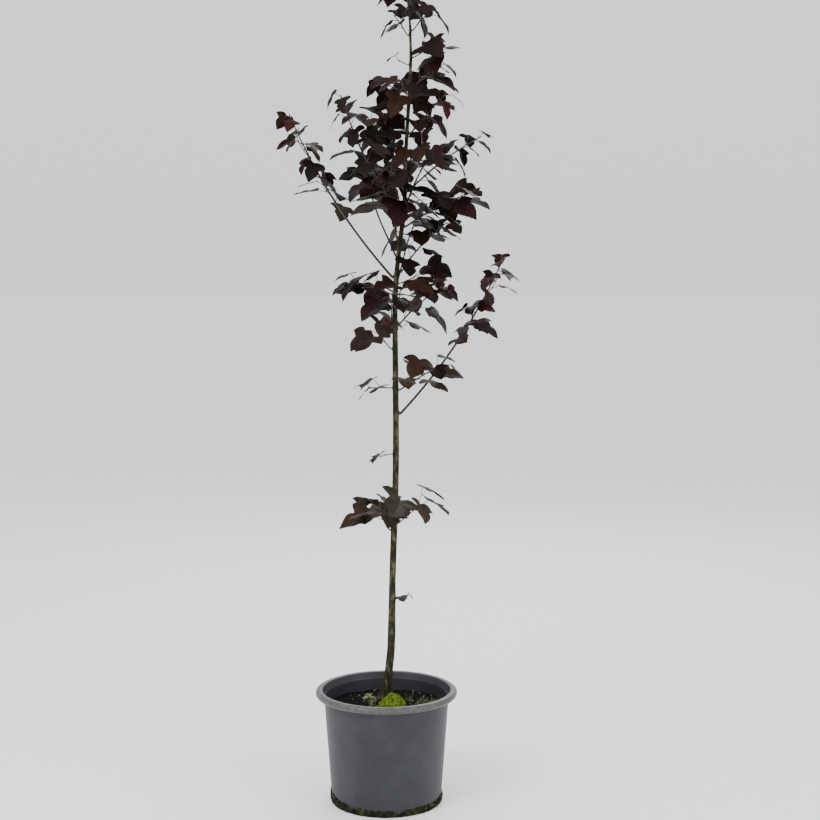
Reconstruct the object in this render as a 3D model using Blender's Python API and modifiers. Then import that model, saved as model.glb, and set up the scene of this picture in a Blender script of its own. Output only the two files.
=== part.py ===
"""A young sweetgum tree with dark purple leaves, standing in its round nursery pot.

Metres, +Z up. The origin is on the pot's axis at its flat underside. +X is to the right seen from
the front and +Y goes to the back. Directions round the trunk are degrees from +X towards +Y.
"""

import math
import random
from itertools import product
from typing import NamedTuple

import bmesh
import bpy
from mathutils import Vector
from mathutils.bvhtree import BVHTree

# Clear space between solids that touch, and the distance that joins loose points
GAP = 0.0003
WELD = 0.000002

# Pot: a tapered wall with a rolled rim, turned round the origin's axis
POT_HEIGHT = 0.2555
POT_BASE_RADIUS = 0.1229
POT_NECK_RADIUS = 0.1404
POT_NECK_HEIGHT = 0.2400
POT_WALL = 0.0030
POT_FLOOR = 0.0040
POT_FOOT_ROUND = 0.0035
RIM_RADIUS = 0.1590
RIM_ROLL = 0.0095
RIM_ROLL_STEPS = 6
RIM_ROLL_FROM = 150.0
RIM_ROLL_TURN = 240.0
RIM_TUCK = 0.0004
POT_SEGMENTS = 36

# Soil: level round the trunk, lumpy further out, lower at the wall
SOIL_TOP = 0.2230
SOIL_LEVEL_RADIUS = 0.062
SOIL_EDGE_DROP = 0.0090
SOIL_LUMP = 0.0025
SOIL_SMOOTH_BORDER = 0.0020
SOIL_RINGS = 3

# Moss: one mound in front of the trunk
MOSS_CENTRE = (0.013, -0.0375)
MOSS_RADIUS = 0.020
MOSS_HEIGHT = 0.025
MOSS_LUMP = 0.10

# Root flare: the foot of the trunk spreads into a few toes, the longest to the left
FLARE_TOES = ((188.0, 0.0060), (262.0, 0.0022), (330.0, 0.0035), (45.0, 0.0030), (115.0, 0.0028))
FLARE_TOE_WIDTH = 26.0
FLARE_HEIGHT = 0.020
FLARE_END = 0.060

# Spacing of points along limbs, and the sides of their sections
TRUNK_STEP = 0.045
FOOT_STEP = 0.009
FOOT_STEPS = 6
LIMB_STEP = 0.024
TRUNK_BEVEL = 2
BOUGH_BEVEL = 1
LIMB_SIDES = 6
COLLAR = 0.004
LIMB_SWAY = 5.0
TWIG_TIP_RADIUS = 0.0010
LIMB_TAPER = 0.0105
LIMB_TAPER_EASE = 2.2

# Side twigs: how far they turn from their stem, how steep and how long they are
TWIG_FIRST = 0.8
TWIG_LAST = 0.9
TWIG_TURN = 50.0
TWIG_TURN_SLACK = 10.0
TWIG_RISE = (25.0, 45.0)
TWIG_LENGTH = (0.045, 0.065)

# Leaves: lengths are shares of the leaf's width, radii are metres and angles are degrees
LEAF_THICK = 0.020
LEAF_POLE = 0.20
LEAF_OUTLINE = (
    (0.0, 0.0),
    (0.22, -0.09),
    (0.42, -0.01),
    (0.53, 0.18),
    (0.28, 0.35),
    (0.29, 0.56),
    (0.0, 0.90),
)
PETIOLE_RADIUS = 0.0009
PETIOLE_END = 0.0003
PETIOLE_SHARE = (0.34, 0.62)
PETIOLE_SUNK = 0.17
PETIOLE_LOWEST = -0.10
PETIOLE_LIFT = 0.12
PETIOLE_CLOSES = 10.0
DROOP = (0.0, 52.0)
TWIST = 38.0
FOLD = (-0.05, 0.26)
CURL = (0.05, 0.45)
SIDE_CURL = 0.7
LEAF_TURN = 137.5
LEAF_TURN_SLACK = 28.0
PETIOLE_SPREAD = (48.0, 66.0)
LEAF_SIZES = (0.84, 1.10)
STEEPEST = 0.15
FIRST_LEAF = 0.7
LEAF_SPACING = 0.85
LEAF_SHRINK = 0.34
LEAVES_A_TWIG = 3
LEAVES_A_SHORT_STEM = 5
LEAF_TRIES = 14
OWN_TRIES = 10
CLEARANCE = 0.0008
ROOM_GROWTH = 1.04
ROOM_AXIS = (0.13, 0.31, 0.94)
SEED = 41


class Ring(NamedTuple):
    """The trunk's centre and radius at one height."""

    height: float
    x: float
    y: float
    radius: float


class Shoot(NamedTuple):
    """A limb that leaves the trunk, bare at first where it has a bough, then leafy to its tip."""

    name: str
    foot: float
    turn: float
    rise: float
    tip_rise: float
    length: float
    leaves: int
    leaf: float
    bare: float = 0.0
    twigs: int = 0
    spin: float = 0.0
    stalk: float = 1.0
    seed: int = 0


TRUNK = (
    Ring(SOIL_TOP + GAP, -0.0100, 0.0000, 0.0105),
    Ring(0.2400, -0.0056, 0.0005, 0.0103),
    Ring(0.2720, 0.0028, 0.0010, 0.0098),
    Ring(0.3040, 0.0064, 0.0012, 0.0092),
    Ring(0.3520, 0.0108, 0.0010, 0.0088),
    Ring(0.5120, 0.0141, -0.0020, 0.0074),
    Ring(0.7730, 0.0217, -0.0040, 0.0070),
    Ring(1.0180, 0.0204, 0.0010, 0.0062),
    Ring(1.1470, 0.0209, 0.0030, 0.0056),
    Ring(1.2630, 0.0320, 0.0020, 0.0051),
    Ring(1.3280, 0.0403, 0.0000, 0.0048),
    Ring(1.4530, 0.0443, -0.0020, 0.0042),
    Ring(1.6330, 0.0543, 0.0000, 0.0033),
    Ring(1.7200, 0.0532, 0.0010, 0.0027),
)

SHOOTS = (
    Shoot("foot_sprig", 0.462, -25.0, 35.0, 10.0, 0.020, 2, 0.046, seed=83),
    Shoot("low_left", 0.618, 188.0, 70.0, 58.0, 0.052, 7, 0.078, spin=20.0, stalk=1.3, seed=80),
    Shoot("low_right", 0.634, -6.0, 44.0, 36.0, 0.055, 4, 0.098, spin=60.0, stalk=1.3, seed=91),
    Shoot("stem_left", 0.787, 180.0, -10.0, -16.0, 0.022, 2, 0.050, seed=60),
    Shoot("right_long", 0.878, -4.0, 47.0, 66.0, 0.410, 16, 0.060, bare=0.155, twigs=2, seed=98),
    Shoot("right_short", 0.930, -22.0, 34.0, 26.0, 0.115, 8, 0.070, seed=77),
    Shoot("left_short", 0.934, 180.0, 4.0, -6.0, 0.045, 4, 0.062, seed=28),
    Shoot("left_fork", 1.021, 186.0, 46.0, 66.0, 0.050, 4, 0.076, seed=32),
    Shoot("back_low", 1.040, 96.0, 50.0, 34.0, 0.130, 6, 0.080, seed=24),
    Shoot("right_low", 1.075, 8.0, 48.0, 34.0, 0.125, 8, 0.070, seed=22),
    Shoot("front_low", 1.100, -82.0, 36.0, 26.0, 0.100, 5, 0.080, seed=33),
    Shoot("left_low", 1.140, 176.0, 26.0, 10.0, 0.085, 7, 0.080, seed=71),
    Shoot("right_facing", 1.165, -24.0, 20.0, 24.0, 0.050, 3, 0.082, seed=32),
    Shoot("left_long", 1.178, 180.0, 48.0, 67.0, 0.415, 17, 0.058, bare=0.130, twigs=2, seed=69),
    Shoot("right_back", 1.172, 68.0, 50.0, 54.0, 0.200, 8, 0.080, bare=0.060, seed=58),
    Shoot("right_mid", 1.190, 12.0, 57.0, 36.0, 0.148, 8, 0.066, seed=73),
    Shoot("left_back", 1.222, 122.0, 50.0, 62.0, 0.260, 10, 0.080, bare=0.100, twigs=1, seed=72),
    Shoot("left_front", 1.256, -122.0, 70.0, 52.0, 0.165, 9, 0.088, bare=0.045, seed=6),
    Shoot("right_wide", 1.290, -5.0, 36.0, 18.0, 0.155, 10, 0.076, seed=49),
    Shoot("front_mid", 1.300, -102.0, 50.0, 32.0, 0.140, 8, 0.088, seed=79),
    Shoot("left_high", 1.313, 174.0, 54.0, 73.0, 0.287, 11, 0.066, bare=0.080, seed=52),
    Shoot("back_mid", 1.340, 62.0, 46.0, 40.0, 0.175, 8, 0.076, seed=57),
    Shoot("right_high", 1.365, 5.0, 46.0, 28.0, 0.195, 9, 0.060, bare=0.050, seed=13),
    Shoot("front_high", 1.375, -68.0, 46.0, 40.0, 0.125, 7, 0.078, seed=28),
    Shoot("back_high", 1.420, 118.0, 46.0, 44.0, 0.140, 7, 0.070, seed=83),
    Shoot("left_upper", 1.450, 194.0, 45.0, 40.0, 0.110, 8, 0.072, seed=66),
    Shoot("right_upper", 1.490, -14.0, 48.0, 46.0, 0.110, 8, 0.066, seed=13),
    Shoot("front_upper", 1.525, -96.0, 46.0, 40.0, 0.090, 5, 0.064, seed=27),
    Shoot("back_upper", 1.550, 84.0, 46.0, 40.0, 0.100, 5, 0.064, seed=97),
    Shoot("left_top", 1.575, 174.0, 26.0, 20.0, 0.055, 3, 0.062, seed=0),
    Shoot("right_top", 1.590, 10.0, 42.0, 36.0, 0.066, 6, 0.076, seed=18),
    Shoot("left_tip", 1.636, 178.0, 30.0, 20.0, 0.018, 1, 0.062, seed=22),
    Shoot("right_tip", 1.652, -12.0, 30.0, 24.0, 0.050, 4, 0.078, seed=35),
    Shoot("left_crown", 1.700, 184.0, 62.0, 50.0, 0.045, 4, 0.070, seed=45),
    Shoot("right_crown", 1.710, -4.0, 56.0, 40.0, 0.045, 4, 0.070, seed=70),
    Shoot("leader", 1.720, 180.0, 84.0, 88.0, 0.200, 13, 0.064, twigs=1, seed=52),
)

COLOURS = {
    "pot_grey": ((0.105, 0.110, 0.125), 0.55),
    "soil_dark": ((0.018, 0.014, 0.011), 0.95),
    "moss_green": ((0.130, 0.200, 0.020), 0.95),
    "bark": ((0.090, 0.078, 0.052), 0.80),
    "leaf_purple": ((0.030, 0.010, 0.012), 0.55),
}


def clear_scene():
    """Remove whatever the scene already holds."""
    for obj in list(bpy.data.objects):
        bpy.data.objects.remove(obj, do_unlink=True)


def new_collection(name):
    """A collection of that name in the scene."""
    made = bpy.data.collections.new(name)
    bpy.context.scene.collection.children.link(made)
    return made


def new_material(name):
    """A Principled material with the colour and roughness listed for it."""
    colour, roughness = COLOURS[name]
    material = bpy.data.materials.new(name)
    material.use_nodes = True
    material.diffuse_color = (*colour, 1.0)
    shader = material.node_tree.nodes["Principled BSDF"]
    shader.inputs["Base Color"].default_value = (*colour, 1.0)
    shader.inputs["Roughness"].default_value = roughness
    return material


def new_object(name, data, collection, material=None):
    """An object for a mesh or curve, in a collection."""
    obj = bpy.data.objects.new(name, data)
    collection.objects.link(obj)
    if material:
        obj.data.materials.append(material)
    return obj


def mesh_from(bm, name):
    """A mesh made from a bmesh, which is then freed."""
    mesh = bpy.data.meshes.new(name)
    bm.to_mesh(mesh)
    bm.free()
    return mesh


def evaluated_mesh(obj):
    """The object's mesh with its modifiers or bevel applied."""
    bpy.context.view_layer.update()
    graph = bpy.context.evaluated_depsgraph_get()
    return bpy.data.meshes.new_from_object(obj.evaluated_get(graph), depsgraph=graph)


def weld_caps(mesh):
    """Join the loose caps of a tube or a turned shape to its side, with the faces out."""
    bm = bmesh.new()
    bm.from_mesh(mesh)
    bmesh.ops.remove_doubles(bm, verts=bm.verts, dist=WELD)
    bmesh.ops.recalc_face_normals(bm, faces=bm.faces)
    bm.to_mesh(mesh)
    bm.free()


def shade(mesh, angle=40.0):
    """Smooth shading with sharp edges over the angle."""
    mesh.shade_smooth()
    mesh.set_sharp_from_angle(angle=math.radians(angle))


def on_circle(degrees, radius=1.0):
    """A level vector of that direction and length."""
    angle = math.radians(degrees)
    return Vector((radius * math.cos(angle), radius * math.sin(angle), 0.0))


def turned(name, profile, collection, material):
    """A turned object from a profile of (radius, height) points that runs down its outer side."""
    bm = bmesh.new()
    points = [bm.verts.new((radius, 0.0, height)) for radius, height in profile]
    for first, second in zip(points, points[1:]):
        bm.edges.new((first, second))
    obj = new_object(name, mesh_from(bm, name), collection, material)
    screw = obj.modifiers.new("Turn", "SCREW")
    screw.steps = POT_SEGMENTS
    screw.render_steps = POT_SEGMENTS
    screw.use_merge_vertices = True
    screw.merge_threshold = 0.0001
    return obj


def wall_radius(height):
    """The pot's outer radius at a height of its plain wall."""
    return POT_BASE_RADIUS + (POT_NECK_RADIUS - POT_BASE_RADIUS) * height / POT_NECK_HEIGHT


def make_pot(collection, material):
    """The pot: inner floor, inner wall, rolled rim, outer wall and rounded foot."""
    centre_radius = RIM_RADIUS - RIM_ROLL
    centre_height = POT_HEIGHT - RIM_ROLL
    inner_neck = wall_radius(POT_NECK_HEIGHT) - POT_WALL
    profile = [
        (0.0, POT_FLOOR),
        (wall_radius(POT_FLOOR) - POT_WALL, POT_FLOOR),
        (inner_neck, POT_NECK_HEIGHT),
    ]
    for step in range(RIM_ROLL_STEPS + 1):
        angle = math.radians(RIM_ROLL_FROM - RIM_ROLL_TURN * step / RIM_ROLL_STEPS)
        across = centre_radius + RIM_ROLL * math.cos(angle)
        profile.append((across, centre_height + RIM_ROLL * math.sin(angle)))
    under = centre_height - RIM_ROLL
    profile += [
        (wall_radius(under), under - RIM_TUCK),
        (wall_radius(POT_FOOT_ROUND), POT_FOOT_ROUND),
        (POT_BASE_RADIUS - POT_FOOT_ROUND, 0.0),
        (0.0, 0.0),
    ]
    obj = turned("pot", profile, collection, material)
    shade(obj.data)
    return obj


def soil_radius(height):
    """The soil's radius at a height, clear of the pot's inner wall."""
    return wall_radius(height) - POT_WALL - GAP


def make_soil(collection, material):
    """The soil: a turned plug whose top is level at the trunk and lumpy beyond."""
    bottom = POT_FLOOR + GAP
    edge_height = SOIL_TOP - SOIL_EDGE_DROP
    edge_radius = soil_radius(edge_height)
    profile = [(0.0, SOIL_TOP), (SOIL_LEVEL_RADIUS, SOIL_TOP)]
    for ring in range(1, SOIL_RINGS + 1):
        share = ring / (SOIL_RINGS + 1)
        radius = SOIL_LEVEL_RADIUS + (edge_radius - SOIL_LEVEL_RADIUS) * share
        profile.append((radius, SOIL_TOP - SOIL_EDGE_DROP * share))
    profile += [(edge_radius, edge_height), (soil_radius(bottom), bottom), (0.0, bottom)]
    raw = turned("soil_raw", profile, collection, material)
    mesh = evaluated_mesh(raw)
    weld_caps(mesh)
    bpy.data.objects.remove(raw, do_unlink=True)
    rng = random.Random(SEED)
    for vertex in mesh.vertices:
        radius = vertex.co.xy.length
        inside = SOIL_LEVEL_RADIUS + SOIL_SMOOTH_BORDER < radius < edge_radius - SOIL_SMOOTH_BORDER
        if inside and vertex.co.z > edge_height:
            vertex.co.z += rng.uniform(-SOIL_LUMP, SOIL_LUMP)
    shade(mesh)
    return new_object("soil", mesh, collection)


def make_moss(collection, material):
    """The moss mound: a half sphere with a lumpy surface, flat below."""
    bm = bmesh.new()
    bmesh.ops.create_uvsphere(bm, u_segments=14, v_segments=10, radius=1.0)
    everything = bm.verts[:] + bm.edges[:] + bm.faces[:]
    bmesh.ops.bisect_plane(
        bm, geom=everything, plane_co=(0.0, 0.0, 0.0), plane_no=(0.0, 0.0, -1.0), clear_outer=True
    )
    rim = [edge for edge in bm.edges if edge.is_boundary]
    bmesh.ops.contextual_create(bm, geom=rim)
    rng = random.Random(SEED)
    for vertex in bm.verts:
        swell = 1.0 + rng.uniform(-MOSS_LUMP, MOSS_LUMP)
        vertex.co.x = MOSS_CENTRE[0] + vertex.co.x * MOSS_RADIUS * swell
        vertex.co.y = MOSS_CENTRE[1] + vertex.co.y * MOSS_RADIUS * swell
        vertex.co.z = SOIL_TOP + GAP + max(vertex.co.z, 0.0) * MOSS_HEIGHT * swell
    bmesh.ops.recalc_face_normals(bm, faces=bm.faces)
    mesh = mesh_from(bm, "moss")
    shade(mesh)
    return new_object("moss", mesh, collection, material)


def eased(low, high, slope_in, slope_out, share):
    """A value between low and high on a cubic with the slopes given at its ends."""
    square, cube = share * share, share * share * share
    ends = low * (2.0 * cube - 3.0 * square + 1.0) + high * (3.0 * square - 2.0 * cube)
    return ends + slope_in * (cube - 2.0 * square + share) + slope_out * (cube - square)


def trunk_at(height):
    """The trunk's centre and radius at a height, eased between its rings."""
    index = 0
    while index < len(TRUNK) - 2 and TRUNK[index + 1].height < height:
        index += 1
    low, high = TRUNK[index], TRUNK[index + 1]
    before, after = TRUNK[max(index - 1, 0)], TRUNK[min(index + 2, len(TRUNK) - 1)]
    span = high.height - low.height
    share = (height - low.height) / span
    centre = []
    for axis in ("x", "y"):
        a, b, c, d = (getattr(ring, axis) for ring in (before, low, high, after))
        slope_in = (c - a) * span / (high.height - before.height)
        slope_out = (d - b) * span / (after.height - low.height)
        centre.append(eased(b, c, slope_in, slope_out, share))
    return Vector((*centre, height)), low.radius + (high.radius - low.radius) * share


def trunk_heights():
    """Heights for the trunk's rings, close together at the foot."""
    foot, tip = TRUNK[0].height, TRUNK[-1].height
    heights = [foot + FOOT_STEP * step for step in range(FOOT_STEPS)]
    count = round((tip - heights[-1]) / TRUNK_STEP)
    rest = (tip - heights[-1]) / count
    return heights + [heights[-1] + rest * step for step in range(1, count + 1)]


def tube_object(name, route, radii, collection, material, bevel=BOUGH_BEVEL):
    """A tapered round limb as a mesh, made from a curve with a bevel and filled caps."""
    curve = bpy.data.curves.new(name, "CURVE")
    curve.dimensions = "3D"
    curve.bevel_depth = 0.001
    curve.bevel_resolution = bevel
    curve.use_fill_caps = True
    spline = curve.splines.new("POLY")
    spline.points.add(len(route) - 1)
    for point, place, radius in zip(spline.points, route, radii):
        point.co = (*place, 1.0)
        point.radius = radius / curve.bevel_depth
    raw = new_object(name + "_curve", curve, collection)
    mesh = evaluated_mesh(raw)
    weld_caps(mesh)
    place = raw.matrix_world.copy()
    bpy.data.objects.remove(raw, do_unlink=True)
    shade(mesh, 60.0)
    mesh.materials.clear()
    obj = new_object(name, mesh, collection, material)
    obj.matrix_world = place
    return obj


def make_trunk(collection, material):
    """The trunk, from its flat cut on the soil to its tip, with its root flare."""
    heights = trunk_heights()
    rings = [trunk_at(height) for height in heights]
    route = [centre for centre, _ in rings]
    obj = tube_object("trunk", route, [radius for _, radius in rings], collection, material, TRUNK_BEVEL)
    foot = heights[0]
    for vertex in obj.data.vertices:
        above = max(vertex.co.z - foot, 0.0)
        if above > FLARE_END:
            continue
        centre, _ = trunk_at(max(vertex.co.z, foot))
        away = vertex.co - centre
        away.z = 0.0
        heading = math.degrees(math.atan2(away.y, away.x))
        spread = 0.0
        for toe, reach in FLARE_TOES:
            off = (heading - toe + 180.0) % 360.0 - 180.0
            spread += reach * math.exp(-((off / FLARE_TOE_WIDTH) ** 2))
        if away.length > 1e-5:
            vertex.co += away.normalized() * spread * math.exp(-((above / FLARE_HEIGHT) ** 2))
        if above < FOOT_STEP / 2.0:
            vertex.co.z = foot
    return obj


def limb_radius(distance_to_tip):
    """A limb's radius by its distance from its tip."""
    return TWIG_TIP_RADIUS + LIMB_TAPER * distance_to_tip / (1.0 + LIMB_TAPER_EASE * distance_to_tip)


def grow(start, shoot):
    """Points of a limb from start, easing from its first rise to its last and swaying a little."""
    count = max(2, round(shoot.length / LIMB_STEP))
    points = [start.copy()]
    for index in range(count):
        share = (index + 0.5) / count
        pitch = math.radians(shoot.rise + (shoot.tip_rise - shoot.rise) * share)
        side = shoot.turn + LIMB_SWAY * math.sin(2.0 * math.pi * share)
        heading = on_circle(side, math.cos(pitch)) + Vector((0.0, 0.0, math.sin(pitch)))
        points.append(points[-1] + heading * (shoot.length / count))
    return points


def foot_of(shoot):
    """Where a shoot meets the trunk, square to its bark and clear of it, and that direction."""
    centre, radius = trunk_at(shoot.foot)
    above, _ = trunk_at(shoot.foot + 0.01)
    lean = (above - centre).normalized()
    away = on_circle(shoot.turn)
    away = (away - lean * away.dot(lean)).normalized()
    return centre + away * (radius + GAP), away


def route_of(shoot):
    """The whole route of a shoot, with its radii."""
    if shoot.foot >= TRUNK[-1].height:
        start = Vector((TRUNK[-1].x, TRUNK[-1].y, TRUNK[-1].height + GAP))
        points = grow(start, shoot)
    else:
        start, away = foot_of(shoot)
        points = [start] + grow(start + away * COLLAR, shoot)
    left = [0.0]
    for first, second in zip(points[::-1], points[-2::-1]):
        left.append(left[-1] + (second - first).length)
    return points, [limb_radius(distance) for distance in reversed(left)]


def split_route(shoot):
    """A shoot's route as its bare bough, if it has one, and its leafy stem, a gap apart."""
    points, radii = route_of(shoot)
    if not shoot.bare:
        return None, (points, radii)
    cut = next(
        index for index in range(2, len(points)) if (points[index] - points[0]).length >= shoot.bare
    )
    heading = (points[cut + 1] - points[cut]).normalized()
    stem = [points[cut] + heading * GAP] + points[cut + 1 :]
    return (points[: cut + 1], radii[: cut + 1]), (stem, radii[cut:])


def along_route(points, share):
    """The place and direction at a share of a route's length."""
    spans = [(second - first).length for first, second in zip(points, points[1:])]
    left = share * sum(spans)
    for first, second, span in zip(points, points[1:], spans):
        if left <= span or second is points[-1]:
            return first.lerp(second, left / span), (second - first).normalized()
        left -= span


def side_twigs(shoot, stem, rng):
    """Side twigs of a stem, spread along it and alternating, as routes with radii."""
    points, radii = stem
    made = []
    for number in range(shoot.twigs):
        share = (number + TWIG_FIRST) / (shoot.twigs + TWIG_LAST)
        place, heading = along_route(points, share)
        level = math.degrees(math.atan2(heading.y, heading.x))
        side = level + (TWIG_TURN if number % 2 else -TWIG_TURN)
        side += rng.uniform(-TWIG_TURN_SLACK, TWIG_TURN_SLACK)
        rise, length = rng.uniform(*TWIG_RISE), rng.uniform(*TWIG_LENGTH)
        route = grow(place, shoot._replace(turn=side, rise=rise, length=length))
        made.append((route, [TWIG_TIP_RADIUS] * len(route)))
    return made


class Leaf(NamedTuple):
    """One leaf: where its petiole leaves the twig, where the blade starts, its axes and size."""

    root: Vector
    base: Vector
    ahead: Vector
    up: Vector
    width: float
    fold: float
    curl: float


def leaf_point(leaf, across, along, lift=0.0):
    """A point of the blade, from shares of its width, folded along the midrib and curled."""
    side = leaf.ahead.cross(leaf.up)
    reach = max(along, 0.0)
    height = leaf.fold * abs(across) - leaf.curl * (reach * reach + across * across * SIDE_CURL)
    flat = side * across + leaf.ahead * along + leaf.up * height
    return leaf.base + flat * leaf.width + leaf.up * lift


def leaf_ring(grown=1.0):
    """The outline all the way round, anticlockwise from above, grown about the blade's pole."""
    right = list(LEAF_OUTLINE)
    left = [(-across, along) for across, along in reversed(right[1:-1])]
    return [(across * grown, LEAF_POLE + (along - LEAF_POLE) * grown) for across, along in right + left]


def leaf_guard(leaf):
    """Points and triangles of a blade and petiole a little larger than life, to test for room."""
    ring = [leaf_point(leaf, across, along) for across, along in leaf_ring(ROOM_GROWTH)]
    lift = leaf.width * LEAF_THICK * 0.5 + CLEARANCE
    points = ring + [leaf_point(leaf, 0.0, LEAF_POLE, lift), leaf_point(leaf, 0.0, LEAF_POLE, -lift)]
    count = len(ring)
    faces = []
    for index in range(count):
        after = (index + 1) % count
        faces += [(index, after, count), (after, index, count + 1)]
    return points, faces


def tube_guard(route, radii, sides=3):
    """Points and triangles of a tube a little fatter than a limb, open at its ends."""
    points, faces = [], []
    for index, (place, radius) in enumerate(zip(route, radii)):
        ahead = route[min(index + 1, len(route) - 1)] - route[max(index - 1, 0)]
        across = ahead.cross(Vector(ROOM_AXIS)).normalized()
        other = ahead.cross(across).normalized()
        for side in range(sides):
            angle = 2.0 * math.pi * side / sides
            out = across * math.cos(angle) + other * math.sin(angle)
            points.append(place + out * (radius + CLEARANCE))
    for index in range(len(route) - 1):
        for side in range(sides):
            a, b = index * sides + side, index * sides + (side + 1) % sides
            faces += [(a, b, a + sides), (b, b + sides, a + sides)]
    return points, faces


class Guard:
    """A growing set of triangles that new leaves keep clear of."""

    def __init__(self):
        self.points, self.faces, self.tree = [], [], None

    def add(self, points, faces):
        shift = len(self.points)
        self.points += points
        self.faces += [tuple(corner + shift for corner in face) for face in faces]
        self.tree = None

    def meets(self, points, faces):
        if not self.faces:
            return False
        if self.tree is None:
            self.tree = BVHTree.FromPolygons(self.points, self.faces)
        return bool(self.tree.overlap(BVHTree.FromPolygons(points, faces)))


def draw_leaf(shoot, twig, share, spin, rng):
    """One try at a leaf on a twig: its petiole spreads round the twig and the blade droops."""
    place, heading = along_route(twig, share)
    level = heading.cross(Vector((0.0, 0.0, 1.0))).normalized()
    over = level.cross(heading)
    angle = math.radians(spin + rng.uniform(-LEAF_TURN_SLACK, LEAF_TURN_SLACK))
    spread = math.radians(rng.uniform(*PETIOLE_SPREAD) - PETIOLE_CLOSES * share)
    out = level * math.cos(angle) + over * math.sin(angle)
    way = heading * math.cos(spread) + out * math.sin(spread)
    way.z = max(way.z, PETIOLE_LOWEST) + PETIOLE_LIFT
    way.normalize()
    width = shoot.leaf * (1.0 - LEAF_SHRINK * share * share) * rng.uniform(*LEAF_SIZES)
    base = place + way * width * shoot.stalk * rng.uniform(*PETIOLE_SHARE)
    level_way = Vector((way.x, way.y, 0.0))
    if level_way.length < STEEPEST:
        level_way = on_circle(math.degrees(angle))
    droop = math.radians(rng.uniform(*DROOP))
    ahead = level_way.normalized() * math.cos(droop) - Vector((0.0, 0.0, math.sin(droop)))
    twist = math.radians(rng.uniform(-TWIST, TWIST))
    side = ahead.cross(Vector((0.0, 0.0, 1.0))).normalized()
    up = side.cross(ahead) * math.cos(twist) + side * math.sin(twist)
    return Leaf(place, base, ahead, up.normalized(), width, rng.uniform(*FOLD), rng.uniform(*CURL))


def crowded(shape, guards):
    """Whether a shape runs into any of the guards."""
    return any(guard.meets(*shape) for guard in guards)


def leaf_plan(shoot, stem, twigs):
    """The route and the place along it of each leaf of a mass: three to a twig, the rest on the stem."""
    on_stem = shoot.leaves - LEAVES_A_TWIG * len(twigs)
    plan = []
    for (route, _), count in [(stem, on_stem)] + [(twig, LEAVES_A_TWIG) for twig in twigs]:
        start = 1.0 if count < LEAVES_A_SHORT_STEM else FIRST_LEAF
        plan += [(route, min(1.0, (number + start) / count) ** LEAF_SPACING) for number in range(count)]
    return plan


def grow_leaves(shoot, stem, twigs, guards, rng):
    """The leaves of a mass, in a spiral, each with room of its own, and what they fill."""
    own, filled = Guard(), Guard()
    for route, radii in [stem] + twigs:
        own.add(*tube_guard(route, radii))
    leaves = []
    for order, (route, share) in enumerate(leaf_plan(shoot, stem, twigs)):
        for attempt in range(LEAF_TRIES):
            leaf = draw_leaf(shoot, route, share, shoot.spin + LEAF_TURN * order, rng)
            blade = leaf_guard(leaf)
            stalk_end = leaf_point(leaf, 0.0, PETIOLE_SUNK)
            stalk = tube_guard([leaf.root, stalk_end], [PETIOLE_RADIUS] * 2, LIMB_SIDES)
            if crowded(blade, guards) or crowded(stalk, guards):
                continue
            if attempt < OWN_TRIES and own.meets(*blade):
                continue
            own.add(*blade)
            filled.add(*blade)
            filled.add(*stalk)
            leaves.append(leaf)
            break
    return leaves, filled


def leaf_mesh(leaf):
    """A blade with a sharp edge and a thicker middle: a flat sphere drawn out to the outline."""
    ring = leaf_ring()
    bm = bmesh.new()
    bmesh.ops.create_uvsphere(bm, u_segments=len(ring), v_segments=2, radius=1.0)
    lift = leaf.width * LEAF_THICK * 0.5
    for vertex in bm.verts:
        if abs(vertex.co.z) > 0.5:
            vertex.co = leaf_point(leaf, 0.0, LEAF_POLE, math.copysign(lift, vertex.co.z))
            continue
        number = round(math.atan2(vertex.co.y, vertex.co.x) / (2.0 * math.pi) * len(ring)) % len(ring)
        vertex.co = leaf_point(leaf, *ring[number])
    bmesh.ops.recalc_face_normals(bm, faces=bm.faces)
    return mesh_from(bm, "blade")


def petiole_mesh(leaf):
    """A three-sided stalk, sunk into its twig and into the blade."""
    start = leaf.root
    end = leaf_point(leaf, 0.0, PETIOLE_SUNK)
    way = end - start
    bm = bmesh.new()
    bmesh.ops.create_cone(
        bm, cap_ends=True, segments=3, radius1=PETIOLE_RADIUS, radius2=PETIOLE_END, depth=way.length
    )
    turn = way.to_track_quat("Z", "Y").to_matrix().to_4x4()
    turn.translation = (start + end) * 0.5
    bm.transform(turn)
    return mesh_from(bm, "stalk")


def twig_mesh(route, radii, section, collection):
    """A three-sided twig with closed ends, drawn along its route from a small triangle."""
    curve = bpy.data.curves.new("twig", "CURVE")
    curve.dimensions = "3D"
    curve.bevel_mode = "OBJECT"
    curve.bevel_object = section
    curve.use_fill_caps = True
    spline = curve.splines.new("POLY")
    spline.points.add(len(route) - 1)
    for point, place, radius in zip(spline.points, route, radii):
        point.co = (*place, 1.0)
        point.radius = radius
    raw = new_object("twig_curve", curve, collection)
    mesh = evaluated_mesh(raw)
    weld_caps(mesh)
    bpy.data.objects.remove(raw, do_unlink=True)
    return mesh


def triangle_section(collection):
    """The triangle that twigs are drawn from, of radius 1."""
    curve = bpy.data.curves.new("twig_section", "CURVE")
    curve.dimensions = "2D"
    spline = curve.splines.new("POLY")
    spline.points.add(2)
    for number, point in enumerate(spline.points):
        point.co = (*on_circle(90.0 + 120.0 * number), 1.0)
    spline.use_cyclic_u = True
    obj = new_object("twig_section", curve, collection)
    obj.hide_render = True
    obj.display_type = "WIRE"
    return obj


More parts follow.
